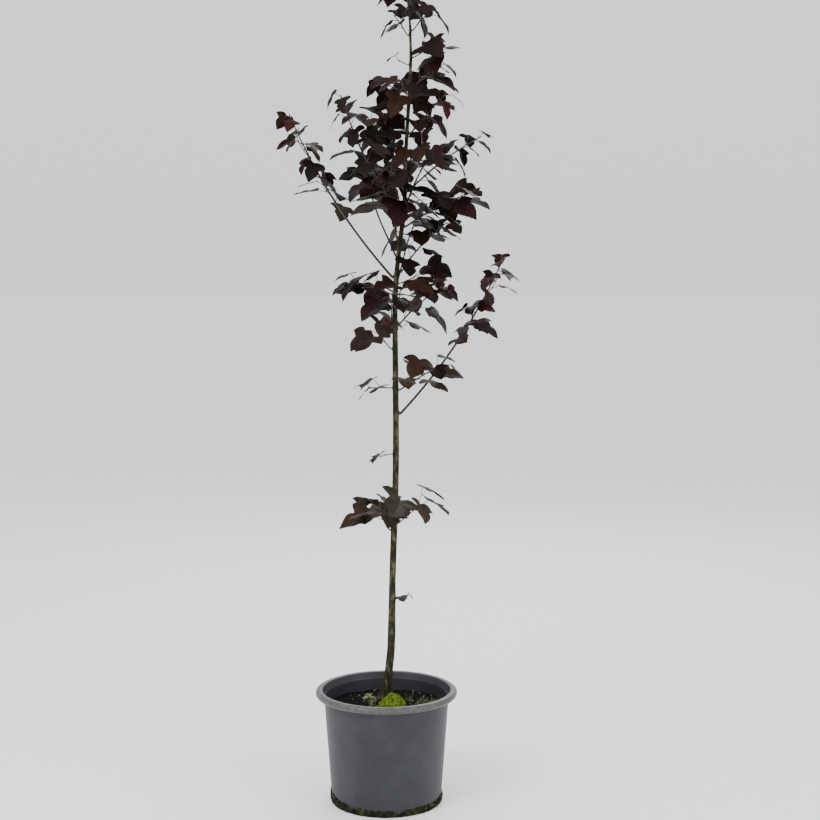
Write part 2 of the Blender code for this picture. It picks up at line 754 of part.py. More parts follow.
def keep_main_body(mesh, reach):
    """Weld points within reach, and drop scraps and sealed hollows so that one body is left."""
    bm = bmesh.new()
    bm.from_mesh(mesh)
    bmesh.ops.triangulate(bm, faces=bm.faces)
    bmesh.ops.remove_doubles(bm, verts=bm.verts, dist=reach)
    groups, seen = [], set()
    for first in bm.verts:
        if first in seen:
            continue
        group, waiting = [], [first]
        seen.add(first)
        while waiting:
            vertex = waiting.pop()
            group.append(vertex)
            for edge in vertex.link_edges:
                other = edge.other_vert(vertex)
                if other not in seen:
                    seen.add(other)
                    waiting.append(other)
        groups.append(group)
    groups.sort(key=len)
    for group in groups[:-1]:
        bmesh.ops.delete(bm, geom=group, context="VERTS")
    bm.to_mesh(mesh)
    bm.free()


def is_closed(mesh):
    """Whether every edge of a mesh has exactly two faces."""
    bm = bmesh.new()
    bm.from_mesh(mesh)
    closed = all(len(edge.link_faces) == 2 for edge in bm.edges)
    bm.free()
    return closed


def fuse(name, pieces, collection, material):
    """One solid from closed meshes that run into each other: the first, joined with all the rest."""
    operands = new_collection(name + "_pieces")
    for number, mesh in enumerate(pieces[1:]):
        new_object(f"{name}_piece_{number}", mesh, operands)
    body = new_object(name, pieces[0], collection)
    union = body.modifiers.new("Join", "BOOLEAN")
    union.operation = "UNION"
    union.operand_type = "COLLECTION"
    union.collection = operands
    for solver, reach in product(("EXACT", "MANIFOLD"), (WELD, WELD / 2.0, WELD / 20.0)):
        union.solver = solver
        mesh = evaluated_mesh(body)
        keep_main_body(mesh, reach)
        if is_closed(mesh):
            break
    body.modifiers.clear()
    for obj in list(operands.objects):
        bpy.data.objects.remove(obj, do_unlink=True)
    bpy.data.collections.remove(operands)
    mesh.materials.clear()
    mesh.materials.append(material)
    body.data = mesh
    return body


def make_mass(shoot, stem, twigs, leaves, section, collection, material):
    """A mass of foliage: stem, side twigs and leaves fused into one solid."""
    pieces = [twig_mesh(*route, section, collection) for route in [stem] + twigs]
    for leaf in leaves:
        pieces += [petiole_mesh(leaf), leaf_mesh(leaf)]
    return fuse(shoot.name + "_leaves", pieces, collection, material)


def trunk_guard():
    """The trunk as triangles to keep clear of."""
    rings = [trunk_at(height) for height in trunk_heights()]
    return tube_guard([centre for centre, _ in rings], [radius for _, radius in rings], LIMB_SIDES)


def make_tree(collection, guides, bark, foliage):
    """The trunk, the bare boughs and the masses of foliage."""
    make_trunk(collection, bark)
    limbs = Guard()
    limbs.add(*trunk_guard())
    planned = []
    for shoot in SHOOTS:
        rng = random.Random(shoot.seed)
        bough, stem = split_route(shoot)
        planned.append((shoot, stem, side_twigs(shoot, stem, rng), rng))
        if bough:
            tube_object(shoot.name + "_bough", *bough, collection, bark)
            limbs.add(*tube_guard(*bough, LIMB_SIDES))
    section = triangle_section(guides)
    crowd = Guard()
    for shoot, stem, twigs, rng in planned:
        neighbours = Guard()
        for other, route, more, _ in planned:
            if other is not shoot:
                for branch in [route] + more:
                    neighbours.add(*tube_guard(*branch, LIMB_SIDES))
        leaves, filled = grow_leaves(shoot, stem, twigs, (limbs, neighbours, crowd), rng)
        crowd.add(filled.points, filled.faces)
        make_mass(shoot, stem, twigs, leaves, section, collection, foliage)
    bpy.data.objects.remove(section, do_unlink=True)


def main():
    clear_scene()
    parts = new_collection("potted_sweetgum")
    guides = new_collection("guides")
    materials = {name: new_material(name) for name in COLOURS}
    make_pot(parts, materials["pot_grey"])
    make_soil(parts, materials["soil_dark"])
    make_moss(parts, materials["moss_green"])
    make_tree(parts, guides, materials["bark"], materials["leaf_purple"])


main()
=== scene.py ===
"""The looks of the potted sweetgum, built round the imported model.

Metres, +Z up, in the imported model's frame: the origin is on the pot's axis at its flat underside.
The limbs and leaves grow by the same seeded rule as the model's, so each leaf has its place there.
"""

import math
import random
from typing import NamedTuple

import bpy
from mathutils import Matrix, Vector, noise
from mathutils.bvhtree import BVHTree


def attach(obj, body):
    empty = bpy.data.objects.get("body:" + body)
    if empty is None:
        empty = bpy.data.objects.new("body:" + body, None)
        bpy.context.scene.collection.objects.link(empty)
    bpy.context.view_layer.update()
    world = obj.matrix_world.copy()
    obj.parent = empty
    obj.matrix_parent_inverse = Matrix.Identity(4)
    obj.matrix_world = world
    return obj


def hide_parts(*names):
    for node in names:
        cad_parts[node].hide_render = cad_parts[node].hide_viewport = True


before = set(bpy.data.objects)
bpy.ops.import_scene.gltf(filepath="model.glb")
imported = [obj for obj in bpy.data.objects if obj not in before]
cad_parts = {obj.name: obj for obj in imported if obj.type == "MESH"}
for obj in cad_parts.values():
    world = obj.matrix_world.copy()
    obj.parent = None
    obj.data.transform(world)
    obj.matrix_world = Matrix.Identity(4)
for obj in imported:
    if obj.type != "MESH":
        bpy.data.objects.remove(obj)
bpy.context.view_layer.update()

# Clear space between solids that touch
GAP = 0.0003

# Pot: a tapered wall with a rolled rim, turned round the origin's axis
POT_HEIGHT = 0.2555
POT_BASE_RADIUS = 0.1229
POT_NECK_RADIUS = 0.1404
POT_NECK_HEIGHT = 0.2400
POT_WALL = 0.0030
POT_FLOOR = 0.0040
POT_FOOT_ROUND = 0.0035
RIM_RADIUS = 0.1590

# Soil: level round the trunk, lumpy further out, lower at the wall
SOIL_TOP = 0.2230
SOIL_LEVEL_RADIUS = 0.062
SOIL_EDGE_DROP = 0.0090

# Moss: one mound in front of the trunk
MOSS_CENTRE = (0.013, -0.0375)
MOSS_RADIUS = 0.020

# Root flare: the foot of the trunk spreads into a few toes, the longest to the left
FLARE_TOES = ((188.0, 0.0060), (262.0, 0.0022), (330.0, 0.0035), (45.0, 0.0030), (115.0, 0.0028))
FLARE_TOE_WIDTH = 26.0
FLARE_HEIGHT = 0.020
FLARE_END = 0.060

# Limbs: spacing of points, sides of sections, sway and how they thin out towards the tip
TRUNK_STEP = 0.045
FOOT_STEP = 0.009
FOOT_STEPS = 6
FOOT_LEAN_STEP = 0.01
LIMB_STEP = 0.024
LIMB_SIDES = 6
COLLAR = 0.004
LIMB_SWAY = 5.0
TWIG_TIP_RADIUS = 0.0010
LIMB_TAPER = 0.0105
LIMB_TAPER_EASE = 2.2

# Side twigs: how far they turn from their stem, how steep and how long they are
TWIG_FIRST = 0.8
TWIG_LAST = 0.9
TWIG_TURN = 50.0
TWIG_TURN_SLACK = 10.0
TWIG_RISE = (25.0, 45.0)
TWIG_LENGTH = (0.045, 0.065)

# Leaves: lengths are shares of the leaf's width, radii are metres and angles are degrees
LEAF_THICK = 0.020
LEAF_POLE = 0.20
LEAF_OUTLINE = (
    (0.0, 0.0),
    (0.22, -0.09),
    (0.42, -0.01),
    (0.53, 0.18),
    (0.28, 0.35),
    (0.29, 0.56),
    (0.0, 0.90),
)
PETIOLE_RADIUS = 0.0009
PETIOLE_SHARE = (0.34, 0.62)
PETIOLE_SUNK = 0.17
PETIOLE_LOWEST = -0.10
PETIOLE_LIFT = 0.12
PETIOLE_CLOSES = 10.0
DROOP = (0.0, 52.0)
TWIST = 38.0
FOLD = (-0.05, 0.26)
CURL = (0.05, 0.45)
SIDE_CURL = 0.7
LEAF_TURN = 137.5
LEAF_TURN_SLACK = 28.0
PETIOLE_SPREAD = (48.0, 66.0)
LEAF_SIZES = (0.84, 1.10)
STEEPEST = 0.15
FIRST_LEAF = 0.7
LEAF_SPACING = 0.85
LEAF_SHRINK = 0.34
LEAVES_A_TWIG = 3
LEAVES_A_SHORT_STEM = 5
LEAF_TRIES = 14
OWN_TRIES = 10
CLEARANCE = 0.0008
ROOM_GROWTH = 1.04
ROOM_AXIS = (0.13, 0.31, 0.94)


class Ring(NamedTuple):
    """The trunk's centre and radius at one height."""

    height: float
    x: float
    y: float
    radius: float


class Shoot(NamedTuple):
    """A limb that leaves the trunk, bare at first where it has a bough, then leafy to its tip."""

    name: str
    foot: float
    turn: float
    rise: float
    tip_rise: float
    length: float
    leaves: int
    leaf: float
    bare: float = 0.0
    twigs: int = 0
    spin: float = 0.0
    stalk: float = 1.0
    seed: int = 0


TRUNK = (
    Ring(SOIL_TOP + GAP, -0.0100, 0.0000, 0.0105),
    Ring(0.2400, -0.0056, 0.0005, 0.0103),
    Ring(0.2720, 0.0028, 0.0010, 0.0098),
    Ring(0.3040, 0.0064, 0.0012, 0.0092),
    Ring(0.3520, 0.0108, 0.0010, 0.0088),
    Ring(0.5120, 0.0141, -0.0020, 0.0074),
    Ring(0.7730, 0.0217, -0.0040, 0.0070),
    Ring(1.0180, 0.0204, 0.0010, 0.0062),
    Ring(1.1470, 0.0209, 0.0030, 0.0056),
    Ring(1.2630, 0.0320, 0.0020, 0.0051),
    Ring(1.3280, 0.0403, 0.0000, 0.0048),
    Ring(1.4530, 0.0443, -0.0020, 0.0042),
    Ring(1.6330, 0.0543, 0.0000, 0.0033),
    Ring(1.7200, 0.0532, 0.0010, 0.0027),
)

SHOOTS = (
    Shoot("foot_sprig", 0.462, -25.0, 35.0, 10.0, 0.020, 2, 0.046, seed=83),
    Shoot("low_left", 0.618, 188.0, 70.0, 58.0, 0.052, 7, 0.078, spin=20.0, stalk=1.3, seed=80),
    Shoot("low_right", 0.634, -6.0, 44.0, 36.0, 0.055, 4, 0.098, spin=60.0, stalk=1.3, seed=91),
    Shoot("stem_left", 0.787, 180.0, -10.0, -16.0, 0.022, 2, 0.050, seed=60),
    Shoot("right_long", 0.878, -4.0, 47.0, 66.0, 0.410, 16, 0.060, bare=0.155, twigs=2, seed=98),
    Shoot("right_short", 0.930, -22.0, 34.0, 26.0, 0.115, 8, 0.070, seed=77),
    Shoot("left_short", 0.934, 180.0, 4.0, -6.0, 0.045, 4, 0.062, seed=28),
    Shoot("left_fork", 1.021, 186.0, 46.0, 66.0, 0.050, 4, 0.076, seed=32),
    Shoot("back_low", 1.040, 96.0, 50.0, 34.0, 0.130, 6, 0.080, seed=24),
    Shoot("right_low", 1.075, 8.0, 48.0, 34.0, 0.125, 8, 0.070, seed=22),
    Shoot("front_low", 1.100, -82.0, 36.0, 26.0, 0.100, 5, 0.080, seed=33),
    Shoot("left_low", 1.140, 176.0, 26.0, 10.0, 0.085, 7, 0.080, seed=71),
    Shoot("right_facing", 1.165, -24.0, 20.0, 24.0, 0.050, 3, 0.082, seed=32),
    Shoot("left_long", 1.178, 180.0, 48.0, 67.0, 0.415, 17, 0.058, bare=0.130, twigs=2, seed=69),
    Shoot("right_back", 1.172, 68.0, 50.0, 54.0, 0.200, 8, 0.080, bare=0.060, seed=58),
    Shoot("right_mid", 1.190, 12.0, 57.0, 36.0, 0.148, 8, 0.066, seed=73),
    Shoot("left_back", 1.222, 122.0, 50.0, 62.0, 0.260, 10, 0.080, bare=0.100, twigs=1, seed=72),
    Shoot("left_front", 1.256, -122.0, 70.0, 52.0, 0.165, 9, 0.088, bare=0.045, seed=6),
    Shoot("right_wide", 1.290, -5.0, 36.0, 18.0, 0.155, 10, 0.076, seed=49),
    Shoot("front_mid", 1.300, -102.0, 50.0, 32.0, 0.140, 8, 0.088, seed=79),
    Shoot("left_high", 1.313, 174.0, 54.0, 73.0, 0.287, 11, 0.066, bare=0.080, seed=52),
    Shoot("back_mid", 1.340, 62.0, 46.0, 40.0, 0.175, 8, 0.076, seed=57),
    Shoot("right_high", 1.365, 5.0, 46.0, 28.0, 0.195, 9, 0.060, bare=0.050, seed=13),
    Shoot("front_high", 1.375, -68.0, 46.0, 40.0, 0.125, 7, 0.078, seed=28),
    Shoot("back_high", 1.420, 118.0, 46.0, 44.0, 0.140, 7, 0.070, seed=83),
    Shoot("left_upper", 1.450, 194.0, 45.0, 40.0, 0.110, 8, 0.072, seed=66),
    Shoot("right_upper", 1.490, -14.0, 48.0, 46.0, 0.110, 8, 0.066, seed=13),
    Shoot("front_upper", 1.525, -96.0, 46.0, 40.0, 0.090, 5, 0.064, seed=27),
    Shoot("back_upper", 1.550, 84.0, 46.0, 40.0, 0.100, 5, 0.064, seed=97),
    Shoot("left_top", 1.575, 174.0, 26.0, 20.0, 0.055, 3, 0.062, seed=0),
    Shoot("right_top", 1.590, 10.0, 42.0, 36.0, 0.066, 6, 0.076, seed=18),
    Shoot("left_tip", 1.636, 178.0, 30.0, 20.0, 0.018, 1, 0.062, seed=22),
    Shoot("right_tip", 1.652, -12.0, 30.0, 24.0, 0.050, 4, 0.078, seed=35),
    Shoot("left_crown", 1.700, 184.0, 62.0, 50.0, 0.045, 4, 0.070, seed=45),
    Shoot("right_crown", 1.710, -4.0, 56.0, 40.0, 0.045, 4, 0.070, seed=70),
    Shoot("leader", 1.720, 180.0, 84.0, 88.0, 0.200, 13, 0.064, twigs=1, seed=52),
)

# Fine blade: corners and soft points of its right half, in shares of its width
BLADE_SECTIONS = (
    ((0.0, 0.0), (0.10, -0.062), (0.24, -0.088), (0.39, -0.040), (0.480, 0.050), (0.535, 0.185)),
    ((0.535, 0.185), (0.45, 0.225), (0.36, 0.275), (0.275, 0.345)),
    ((0.275, 0.345), (0.305, 0.44), (0.292, 0.55), (0.205, 0.690), (0.085, 0.815), (0.0, 0.905)),
)
SECTION_STEPS = (14, 9, 15)
SECTION_CURVE = 8
TOOTH = 0.009
TOOTH_NOTCH = -0.35
BLADE_RINGS = (0.25, 0.50, 0.72, 0.88)
BLADE_HALF_THICK = 0.00022
VEIN_START = 0.02
VEIN_ENDS = ((0.0, 0.88), (0.51, 0.18), (-0.51, 0.18))
VEIN_DEPTH = 0.0075
VEIN_WIDTH = 0.022
VEIN_FADE = 0.6
RUFFLE = 0.022
RUFFLE_WAVES = 5.0
RUFFLE_PHASE = 6.0

# Round limbs: sides, resampling, and how far a limb is sunk into what carries it
TWIG_SIDES = 7
PETIOLE_SIDES = 6
BARK_SIDES = 30
BOUGH_SIDES = 16
SMOOTH_STEPS = 5
SUNK = 0.0035

# Petioles: their bow, their radii to the midrib, and where they run on under the blade
PETIOLE_STEPS = 5
PETIOLE_BOW = 0.045
PETIOLE_RADII = (0.00125, 0.0009, 0.00075, 0.0007, 0.0007, 0.00075, 0.00065, 0.0005, 0.0003)
PETIOLE_UNDER = (0.07, 0.14, 0.22)
PETIOLE_UNDER_BY = 0.0003

# Buds at the tips of twigs, smaller ones where petioles start, and the swell of any drop
BUD_LENGTH = 0.0046
BUD_RADIUS = 0.0014
SIDE_BUD_LENGTH = BUD_LENGTH * 0.7
SIDE_BUD_RADIUS = BUD_RADIUS * 0.8
SIDE_BUD_LIFT = 0.8
DROP_START = 0.12
DROP_SPAN = 0.84
DROP_FULL = 0.8

# Bark: depth and scale (round, then up) of its relief, the swelling at each shoot, and boughs
BARK_STEP = 0.0035
BARK_FURROW = 0.00055
BARK_FURROW_SCALE = (3.4, 22.0)
BARK_FURROW_LEAST = 0.45
BARK_FURROW_FADE = 2.2
BARK_GRAIN = 0.00022
BARK_GRAIN_SCALE = (9.0, 130.0)
SCAR_SWELL = 0.0010
SCAR_HEIGHT = 0.0055
SCAR_REACH = 3.0
BOUGH_SLIM = 0.82
BOUGH_COLLAR = 0.60
BOUGH_COLLAR_ROWS = 3.0
BOUGH_GRAIN_SCALE = 260.0

# Pot: steps round it, up its wall and round its foot, and the lip's boxy inner side. The lip's inward part
# is painted shade, a thin strip in the body's dark material.
POT_TURNS = 144
POT_AXIS_RADIUS = 0.0005
WALL_STEPS = 24
ARC_STEPS = 6
LIP_STEPS = 22
LIP_FROM = 170.0
LIP_TURN = 248.0
LIP_ROLL = 0.0082
LIP_THICK = 0.0016
LIP_BOXY = 0.55
LIP_INNER = 0.70
LIP_OVERLAP = 0.004
LIP_SUNK = 0.001
PAINTED_SHADE_THICK = 0.0008

# Crust on the foot of the wall: highest to the left, with a notch at the front. Its waves and
# lumps are size, scale and shift.
CRUST_TURNS = 240
CRUST_ROWS = 9
CRUST_FROM = 0.0006
CRUST_HEIGHT = 0.015
CRUST_LEFT = 0.014
CRUST_RIGHT = 0.004
CRUST_TOP_WAVES = ((0.005, 3.0, (4.0, 1.0, 0.0)), (0.004, 34.0, (7.0, 2.0, 5.0)))
CRUST_NOTCH = 0.60
CRUST_NOTCH_AT = 283.0
CRUST_NOTCH_WIDTH = 4.0
CRUST_PROUD = 0.0032
CRUST_LUMP = 0.0030
CRUST_LUMPS = ((1.0, 42.0, 5.0), (0.6, 110.0, 13.0))
CRUST_SWELL_FROM = 0.14
CRUST_SWELL_FULL = 0.6
CRUST_SUNK_EDGE = 0.0003
CRUST_SUNK = 0.0010

# Soil: its fine surface. Crumbs are size, level and scale of noise, lumps are level and scale.
SOIL_RING_COUNT = 46
SOIL_TURNS = 132
SOIL_ROUGH = 0.0022
SOIL_CRUMBS = ((1.0, 0.3, 95.0), (0.6, 0.9, 230.0))
SOIL_CRUMBS_SHARE = 0.55
SOIL_LUMPS = (2.0, 26.0)
SOIL_LUMPS_SHARE = 0.9
SOIL_UNDERSIDE = 0.18
SOIL_AXIS_RADIUS = 0.0002

# Loose litter on the soil: dark bits with a pale one every so often. A form is sides and rows.
GRIT_SEED = 12
GRIT_COUNT = 520
GRIT_FROM_EDGE = 0.006
GRIT_TILT = (-0.2, 0.5)
GRIT_LENGTH = (0.002, 0.007)
GRIT_SLIM = (0.16, 0.34)
GRIT_LIFT = 0.0006
LITTER_FORM = (5, 4)
PALE_EVERY = 14

# Moss: the mound, the cushions round it (direction, distance, radius) and their tufts
MOSS_SEED = 23
MOUND_RADIUS = 0.0265
MOUND_HEIGHT = 0.0300
MOUND_POINT = 0.60
MOUND_ROWS = 12
MOUND_TURNS = 28
MOUND_STEEPEST = 86.0
MOUND_SUNK = 0.002
CUSHIONS = ((188.0, 0.030, 0.007), (205.0, 0.041, 0.005), (330.0, 0.034, 0.006), (80.0, 0.060, 0.012))
CUSHION_RISE = 0.4
MOSS_RAGGED = 0.30
MOSS_RAGGED_SCALE = 120.0
MOSS_RAGGED_SHIFT = 7.0
TUFT_COUNT = 3400
TUFT_LEAN = 0.45
TUFT_LIFT = 0.4
TUFT_LENGTH = (0.0018, 0.0046)
TUFT_RADIUS = 0.00045
TUFT_FORM = (3, 3)

# Weeds: pale curled shoots left of the trunk, as start, direction, reach and rise
WEED_SEED = 31
PALE_SHOOTS = (
    (-0.030, 170.0, 0.026, 0.026),
    (-0.024, 150.0, 0.018, 0.020),
    (-0.034, 200.0, 0.020, 0.022),
    (-0.028, 250.0, 0.016, 0.014),
    (-0.036, 100.0, 0.014, 0.016),
)
PALE_Y = -0.030
PALE_STEPS = 8
PALE_CURL = 2.4
PALE_ARCH = 2.6
PALE_RADIUS = 0.0016
PALE_TAPER = 0.35
PALE_SIDES = 7
PALE_LEAVES = slice(2, 7)
PALE_LEAF_WAY = ((0.4, 1.0), (-0.8, 0.2), (-0.2, 0.7))
PALE_LEAF_DARK = 0.45
PALE_LEAF_LENGTH = (0.005, 0.010)
PALE_LEAF_RADIUS = 0.0014

# Small dark weeds and a stick right of the trunk
WEED_COUNT = 34
WEED_X = (0.045, 0.115)
WEED_Y = (-0.075, 0.030)
WEED_WITHIN = 0.122
WEED_BLADES = (3, 6)
WEED_RISE = (0.3, 1.6)
WEED_RADII = (0.0005, 0.0011, 0.0002)
WEED_SIDES = 5
WEED_MIDDLE = 0.004
WEED_TIP = 0.008
WEED_TIP_OUT = 0.002
STICK_PLACE = (0.052, -0.020, SOIL_TOP - 0.002)
STICK_ROUTE = ((0.0, 0.0, 0.0), (0.006, 0.0, 0.024), (0.010, 0.002, 0.036))
STICK_RADII = (0.0012, 0.0010, 0.0007)
STICK_SIDES = 7

# Leaf tints: base colour and roughness. The common ones are dealt out at random.
LEAF_TINTS = {
    "night": ((0.0070, 0.0026, 0.0019), 0.62),
    "plum": ((0.0130, 0.0030, 0.0028), 0.58),
    "umber": ((0.0165, 0.0062, 0.0026), 0.62),
    # Painted sheen: a violet tint for the blue-purple sheen of light on far-right leaves
    "violet_sheen": ((0.0120, 0.0052, 0.0085), 0.52),
    "brown": ((0.0240, 0.0125, 0.0062), 0.60),
    "olive": ((0.0175, 0.0135, 0.0058), 0.60),
    # Painted backlight: a red tint for light shining through small leaves
    "backlit_red": ((0.0270, 0.0033, 0.0033), 0.56),
}
COMMON_TINTS = ("night", "plum", "umber")
TINT_SEED = 5
TINT_SPRAY = 97.0
TINT_RANGE = (0.75, 1.35)
OLIVE_BELOW = 0.75
OLIVE_SHARE = 0.45
# Painted backlight: small leaves that may be drawn red, as if lit through from behind
BACKLIT_RED_WIDTH = 0.048
BACKLIT_RED_SHARE = 0.45
# Painted sheen: leaves this far right that may be drawn violet, for the sheen of light on them
VIOLET_SHEEN_BEYOND = 0.16
VIOLET_SHEEN_SHARE = 0.4
BROWN_BELOW = 1.12
BROWN_SHARE = 0.35

# Smoothing: edges sharper than these angles stay sharp
SMOOTH_ANGLE = 60.0
LEAF_SMOOTH_ANGLE = 70.0

# What all materials share: the stops of their colours, and the detail of pattern and grain
COLOUR_STOPS = (0.34, 0.52, 0.68)
PATTERN_DETAIL = 6.0
PATTERN_ROUGHNESS = 0.62
GRAIN_FINER = 3.0
GRAIN_DETAIL = 4.0


class Look(NamedTuple):
    """A material: dark, light and middle colour, roughness, then its pattern, bump and gloss."""

    low: tuple
    high: tuple
    middle: tuple
    roughness: float
    scale: float
    bump: float = 0.2
    stretch: float = 1.0
    depth: float = 0.001
    gloss: float = 0.5


LOOKS = {
    "bark": Look(
        (0.008, 0.007, 0.0035), (0.110, 0.098, 0.060), (0.026, 0.023, 0.0115), 0.88, 95.0,
        bump=0.8, stretch=2.4, depth=0.0008, gloss=0.12,
    ),
    "young_bark": Look(
        (0.012, 0.008, 0.006), (0.060, 0.042, 0.028), (0.026, 0.018, 0.012), 0.70, 110.0,
        bump=0.4, stretch=3.0, depth=0.0006, gloss=0.2,
    ),
    "petiole": Look((0.030, 0.011, 0.010), (0.075, 0.034, 0.027), None, 0.50, 60.0),
    "twig": Look((0.014, 0.008, 0.007), (0.040, 0.022, 0.016), None, 0.60, 120.0, stretch=3.0),
    "bud": Look((0.030, 0.008, 0.007), (0.070, 0.020, 0.013), None, 0.40, 200.0),
    "pot_plastic": Look(
        (0.0150, 0.0148, 0.0205), (0.0250, 0.0250, 0.0325), (0.0190, 0.0188, 0.0258), 0.50, 18.0,
        bump=0.25, gloss=0.4,
    ),
    "pot_lip": Look(
        (0.042, 0.041, 0.040), (0.088, 0.086, 0.080), (0.058, 0.056, 0.053), 0.45, 90.0
    ),
    "crust": Look(
        (0.004, 0.004, 0.003), (0.062, 0.066, 0.026), (0.013, 0.014, 0.007), 0.95, 75.0,
        bump=0.9, depth=0.002, gloss=0.1,
    ),
    "compost": Look(
        (0.0012, 0.0011, 0.0010), (0.012, 0.010, 0.007), (0.0034, 0.0030, 0.0024), 0.95, 150.0,
        bump=0.9, depth=0.002, gloss=0.05,
    ),
    "chips": Look((0.005, 0.004, 0.003), (0.034, 0.023, 0.014), None, 0.85, 300.0, gloss=0.1),
    "grit": Look((0.080, 0.072, 0.058), (0.240, 0.225, 0.190), None, 0.80, 300.0, gloss=0.2),
    "moss": Look(
        (0.060, 0.105, 0.008), (0.360, 0.480, 0.050), (0.180, 0.265, 0.024), 0.90, 130.0,
        bump=0.6, gloss=0.2,
    ),
    "pale_shoots": Look((0.080, 0.120, 0.040), (0.330, 0.380, 0.210), None, 0.60, 200.0, gloss=0.2),
    "weeds": Look((0.020, 0.030, 0.010), (0.090, 0.100, 0.035), None, 0.75, 200.0),
}
LEAF_SCALE = 90.0
LEAF_GLOSS = 0.11
for tint, (colour, roughness) in LEAF_TINTS.items():
    low, high = (tuple(channel * share for channel in colour) for share in TINT_RANGE)
    LOOKS["leaf_" + tint] = Look(low, high, None, roughness, LEAF_SCALE, gloss=LEAF_GLOSS)

# Stage: floor, sky, lights as place, aim, size and power, and the photograph's camera
FLOOR_HALF = 60.0
FLOOR_COLOUR = (0.97, 0.975, 0.97, 1.0)
FLOOR_ROUGHNESS = 0.9
SKY_STRENGTH = 1.30
SKY_LOW = (0.91, 0.925, 0.93, 1.0)
SKY_HIGH = (0.95, 0.98, 1.0, 1.0)
SKY_HIGH_FROM = 0.30
LIGHTS = {
    "key": ((-2.2, -2.6, 3.4), (0.0, 0.0, 0.9), 2.2, 120.0),
    "fill": ((2.8, -2.2, 2.0), (0.0, 0.0, 1.0), 2.4, 45.0),
    "back": ((0.6, 3.0, 3.0), (0.0, 0.0, 1.2), 2.5, 60.0),
}
CAMERA_PLACE = (0.053, -3.344, 1.202)
CAMERA_TILT = 5.42
CAMERA_LENS = 66.64
CAMERA_SENSOR = 36.0


def on_circle(degrees, radius=1.0):
    """A level vector of that direction and length."""
    angle = math.radians(degrees)
    return Vector((radius * math.cos(angle), radius * math.sin(angle), 0.0))


def upward(height):
    """A vector that long and straight up."""
    return Vector((0.0, 0.0, height))


def wall_radius(height):
    """The pot's outer radius at a height of its plain wall."""
    return POT_BASE_RADIUS + (POT_NECK_RADIUS - POT_BASE_RADIUS) * height / POT_NECK_HEIGHT


def eased(low, high, slope_in, slope_out, share):
    """A value between low and high on a cubic with the slopes given at its ends."""
    square, cube = share * share, share * share * share
    ends = low * (2.0 * cube - 3.0 * square + 1.0) + high * (3.0 * square - 2.0 * cube)
    return ends + slope_in * (cube - 2.0 * square + share) + slope_out * (cube - square)


def trunk_at(height):
    """The trunk's centre and radius at a height, eased between its rings."""
    index = 0
    while index < len(TRUNK) - 2 and TRUNK[index + 1].height < height:
        index += 1
    low, high = TRUNK[index], TRUNK[index + 1]
    before, after = TRUNK[max(index - 1, 0)], TRUNK[min(index + 2, len(TRUNK) - 1)]
    span = high.height - low.height
    share = (height - low.height) / span
    centre = []
    for axis in ("x", "y"):
        a, b, c, d = (getattr(ring, axis) for ring in (before, low, high, after))
        slope_in = (c - a) * span / (high.height - before.height)
        slope_out = (d - b) * span / (after.height - low.height)
        centre.append(eased(b, c, slope_in, slope_out, share))
    return Vector((*centre, height)), low.radius + (high.radius - low.radius) * share


def trunk_heights():
    """Heights for the trunk's rings, close together at the foot."""
    foot, tip = TRUNK[0].height, TRUNK[-1].height
    heights = [foot + FOOT_STEP * step for step in range(FOOT_STEPS)]
    count = round((tip - heights[-1]) / TRUNK_STEP)
    rest = (tip - heights[-1]) / count
    return heights + [heights[-1] + rest * step for step in range(1, count + 1)]


def limb_radius(distance_to_tip):
    """A limb's radius by its distance from its tip."""
    return TWIG_TIP_RADIUS + LIMB_TAPER * distance_to_tip / (1.0 + LIMB_TAPER_EASE * distance_to_tip)


def grow(start, shoot):
    """Points of a limb from start, easing from its first rise to its last and swaying a little."""
    count = max(2, round(shoot.length / LIMB_STEP))
    points = [start.copy()]
    for index in range(count):
        share = (index + 0.5) / count
        pitch = math.radians(shoot.rise + (shoot.tip_rise - shoot.rise) * share)
        side = shoot.turn + LIMB_SWAY * math.sin(2.0 * math.pi * share)
        heading = on_circle(side, math.cos(pitch)) + upward(math.sin(pitch))
        points.append(points[-1] + heading * (shoot.length / count))
    return points


def foot_of(shoot):
    """Where a shoot meets the trunk, square to its bark and clear of it, and that direction."""
    centre, radius = trunk_at(shoot.foot)
    above, _ = trunk_at(shoot.foot + FOOT_LEAN_STEP)
    lean = (above - centre).normalized()
    away = on_circle(shoot.turn)
    away = (away - lean * away.dot(lean)).normalized()
    return centre + away * (radius + GAP), away


def route_of(shoot):
    """The whole route of a shoot, with its radii."""
    if shoot.foot >= TRUNK[-1].height:
        start = Vector((TRUNK[-1].x, TRUNK[-1].y, TRUNK[-1].height + GAP))
        points = grow(start, shoot)
    else:
        start, away = foot_of(shoot)
        points = [start] + grow(start + away * COLLAR, shoot)
    left = [0.0]
    for first, second in zip(points[::-1], points[-2::-1]):
        left.append(left[-1] + (second - first).length)
    return points, [limb_radius(distance) for distance in reversed(left)]


def split_route(shoot):
    """A shoot's route as its bare bough, if it has one, and its leafy stem, a gap apart."""
    points, radii = route_of(shoot)
    if not shoot.bare:
        return None, (points, radii)
    cut = next(
        index for index in range(2, len(points)) if (points[index] - points[0]).length >= shoot.bare
    )
    heading = (points[cut + 1] - points[cut]).normalized()
    stem = [points[cut] + heading * GAP] + points[cut + 1 :]
    return (points[: cut + 1], radii[: cut + 1]), (stem, radii[cut:])


def along_route(points, share):
    """The place and direction at a share of a route's length."""
    spans = [(second - first).length for first, second in zip(points, points[1:])]
    left = share * sum(spans)
    for first, second, span in zip(points, points[1:], spans):
        if left <= span or second is points[-1]:
            return first.lerp(second, left / span), (second - first).normalized()
        left -= span


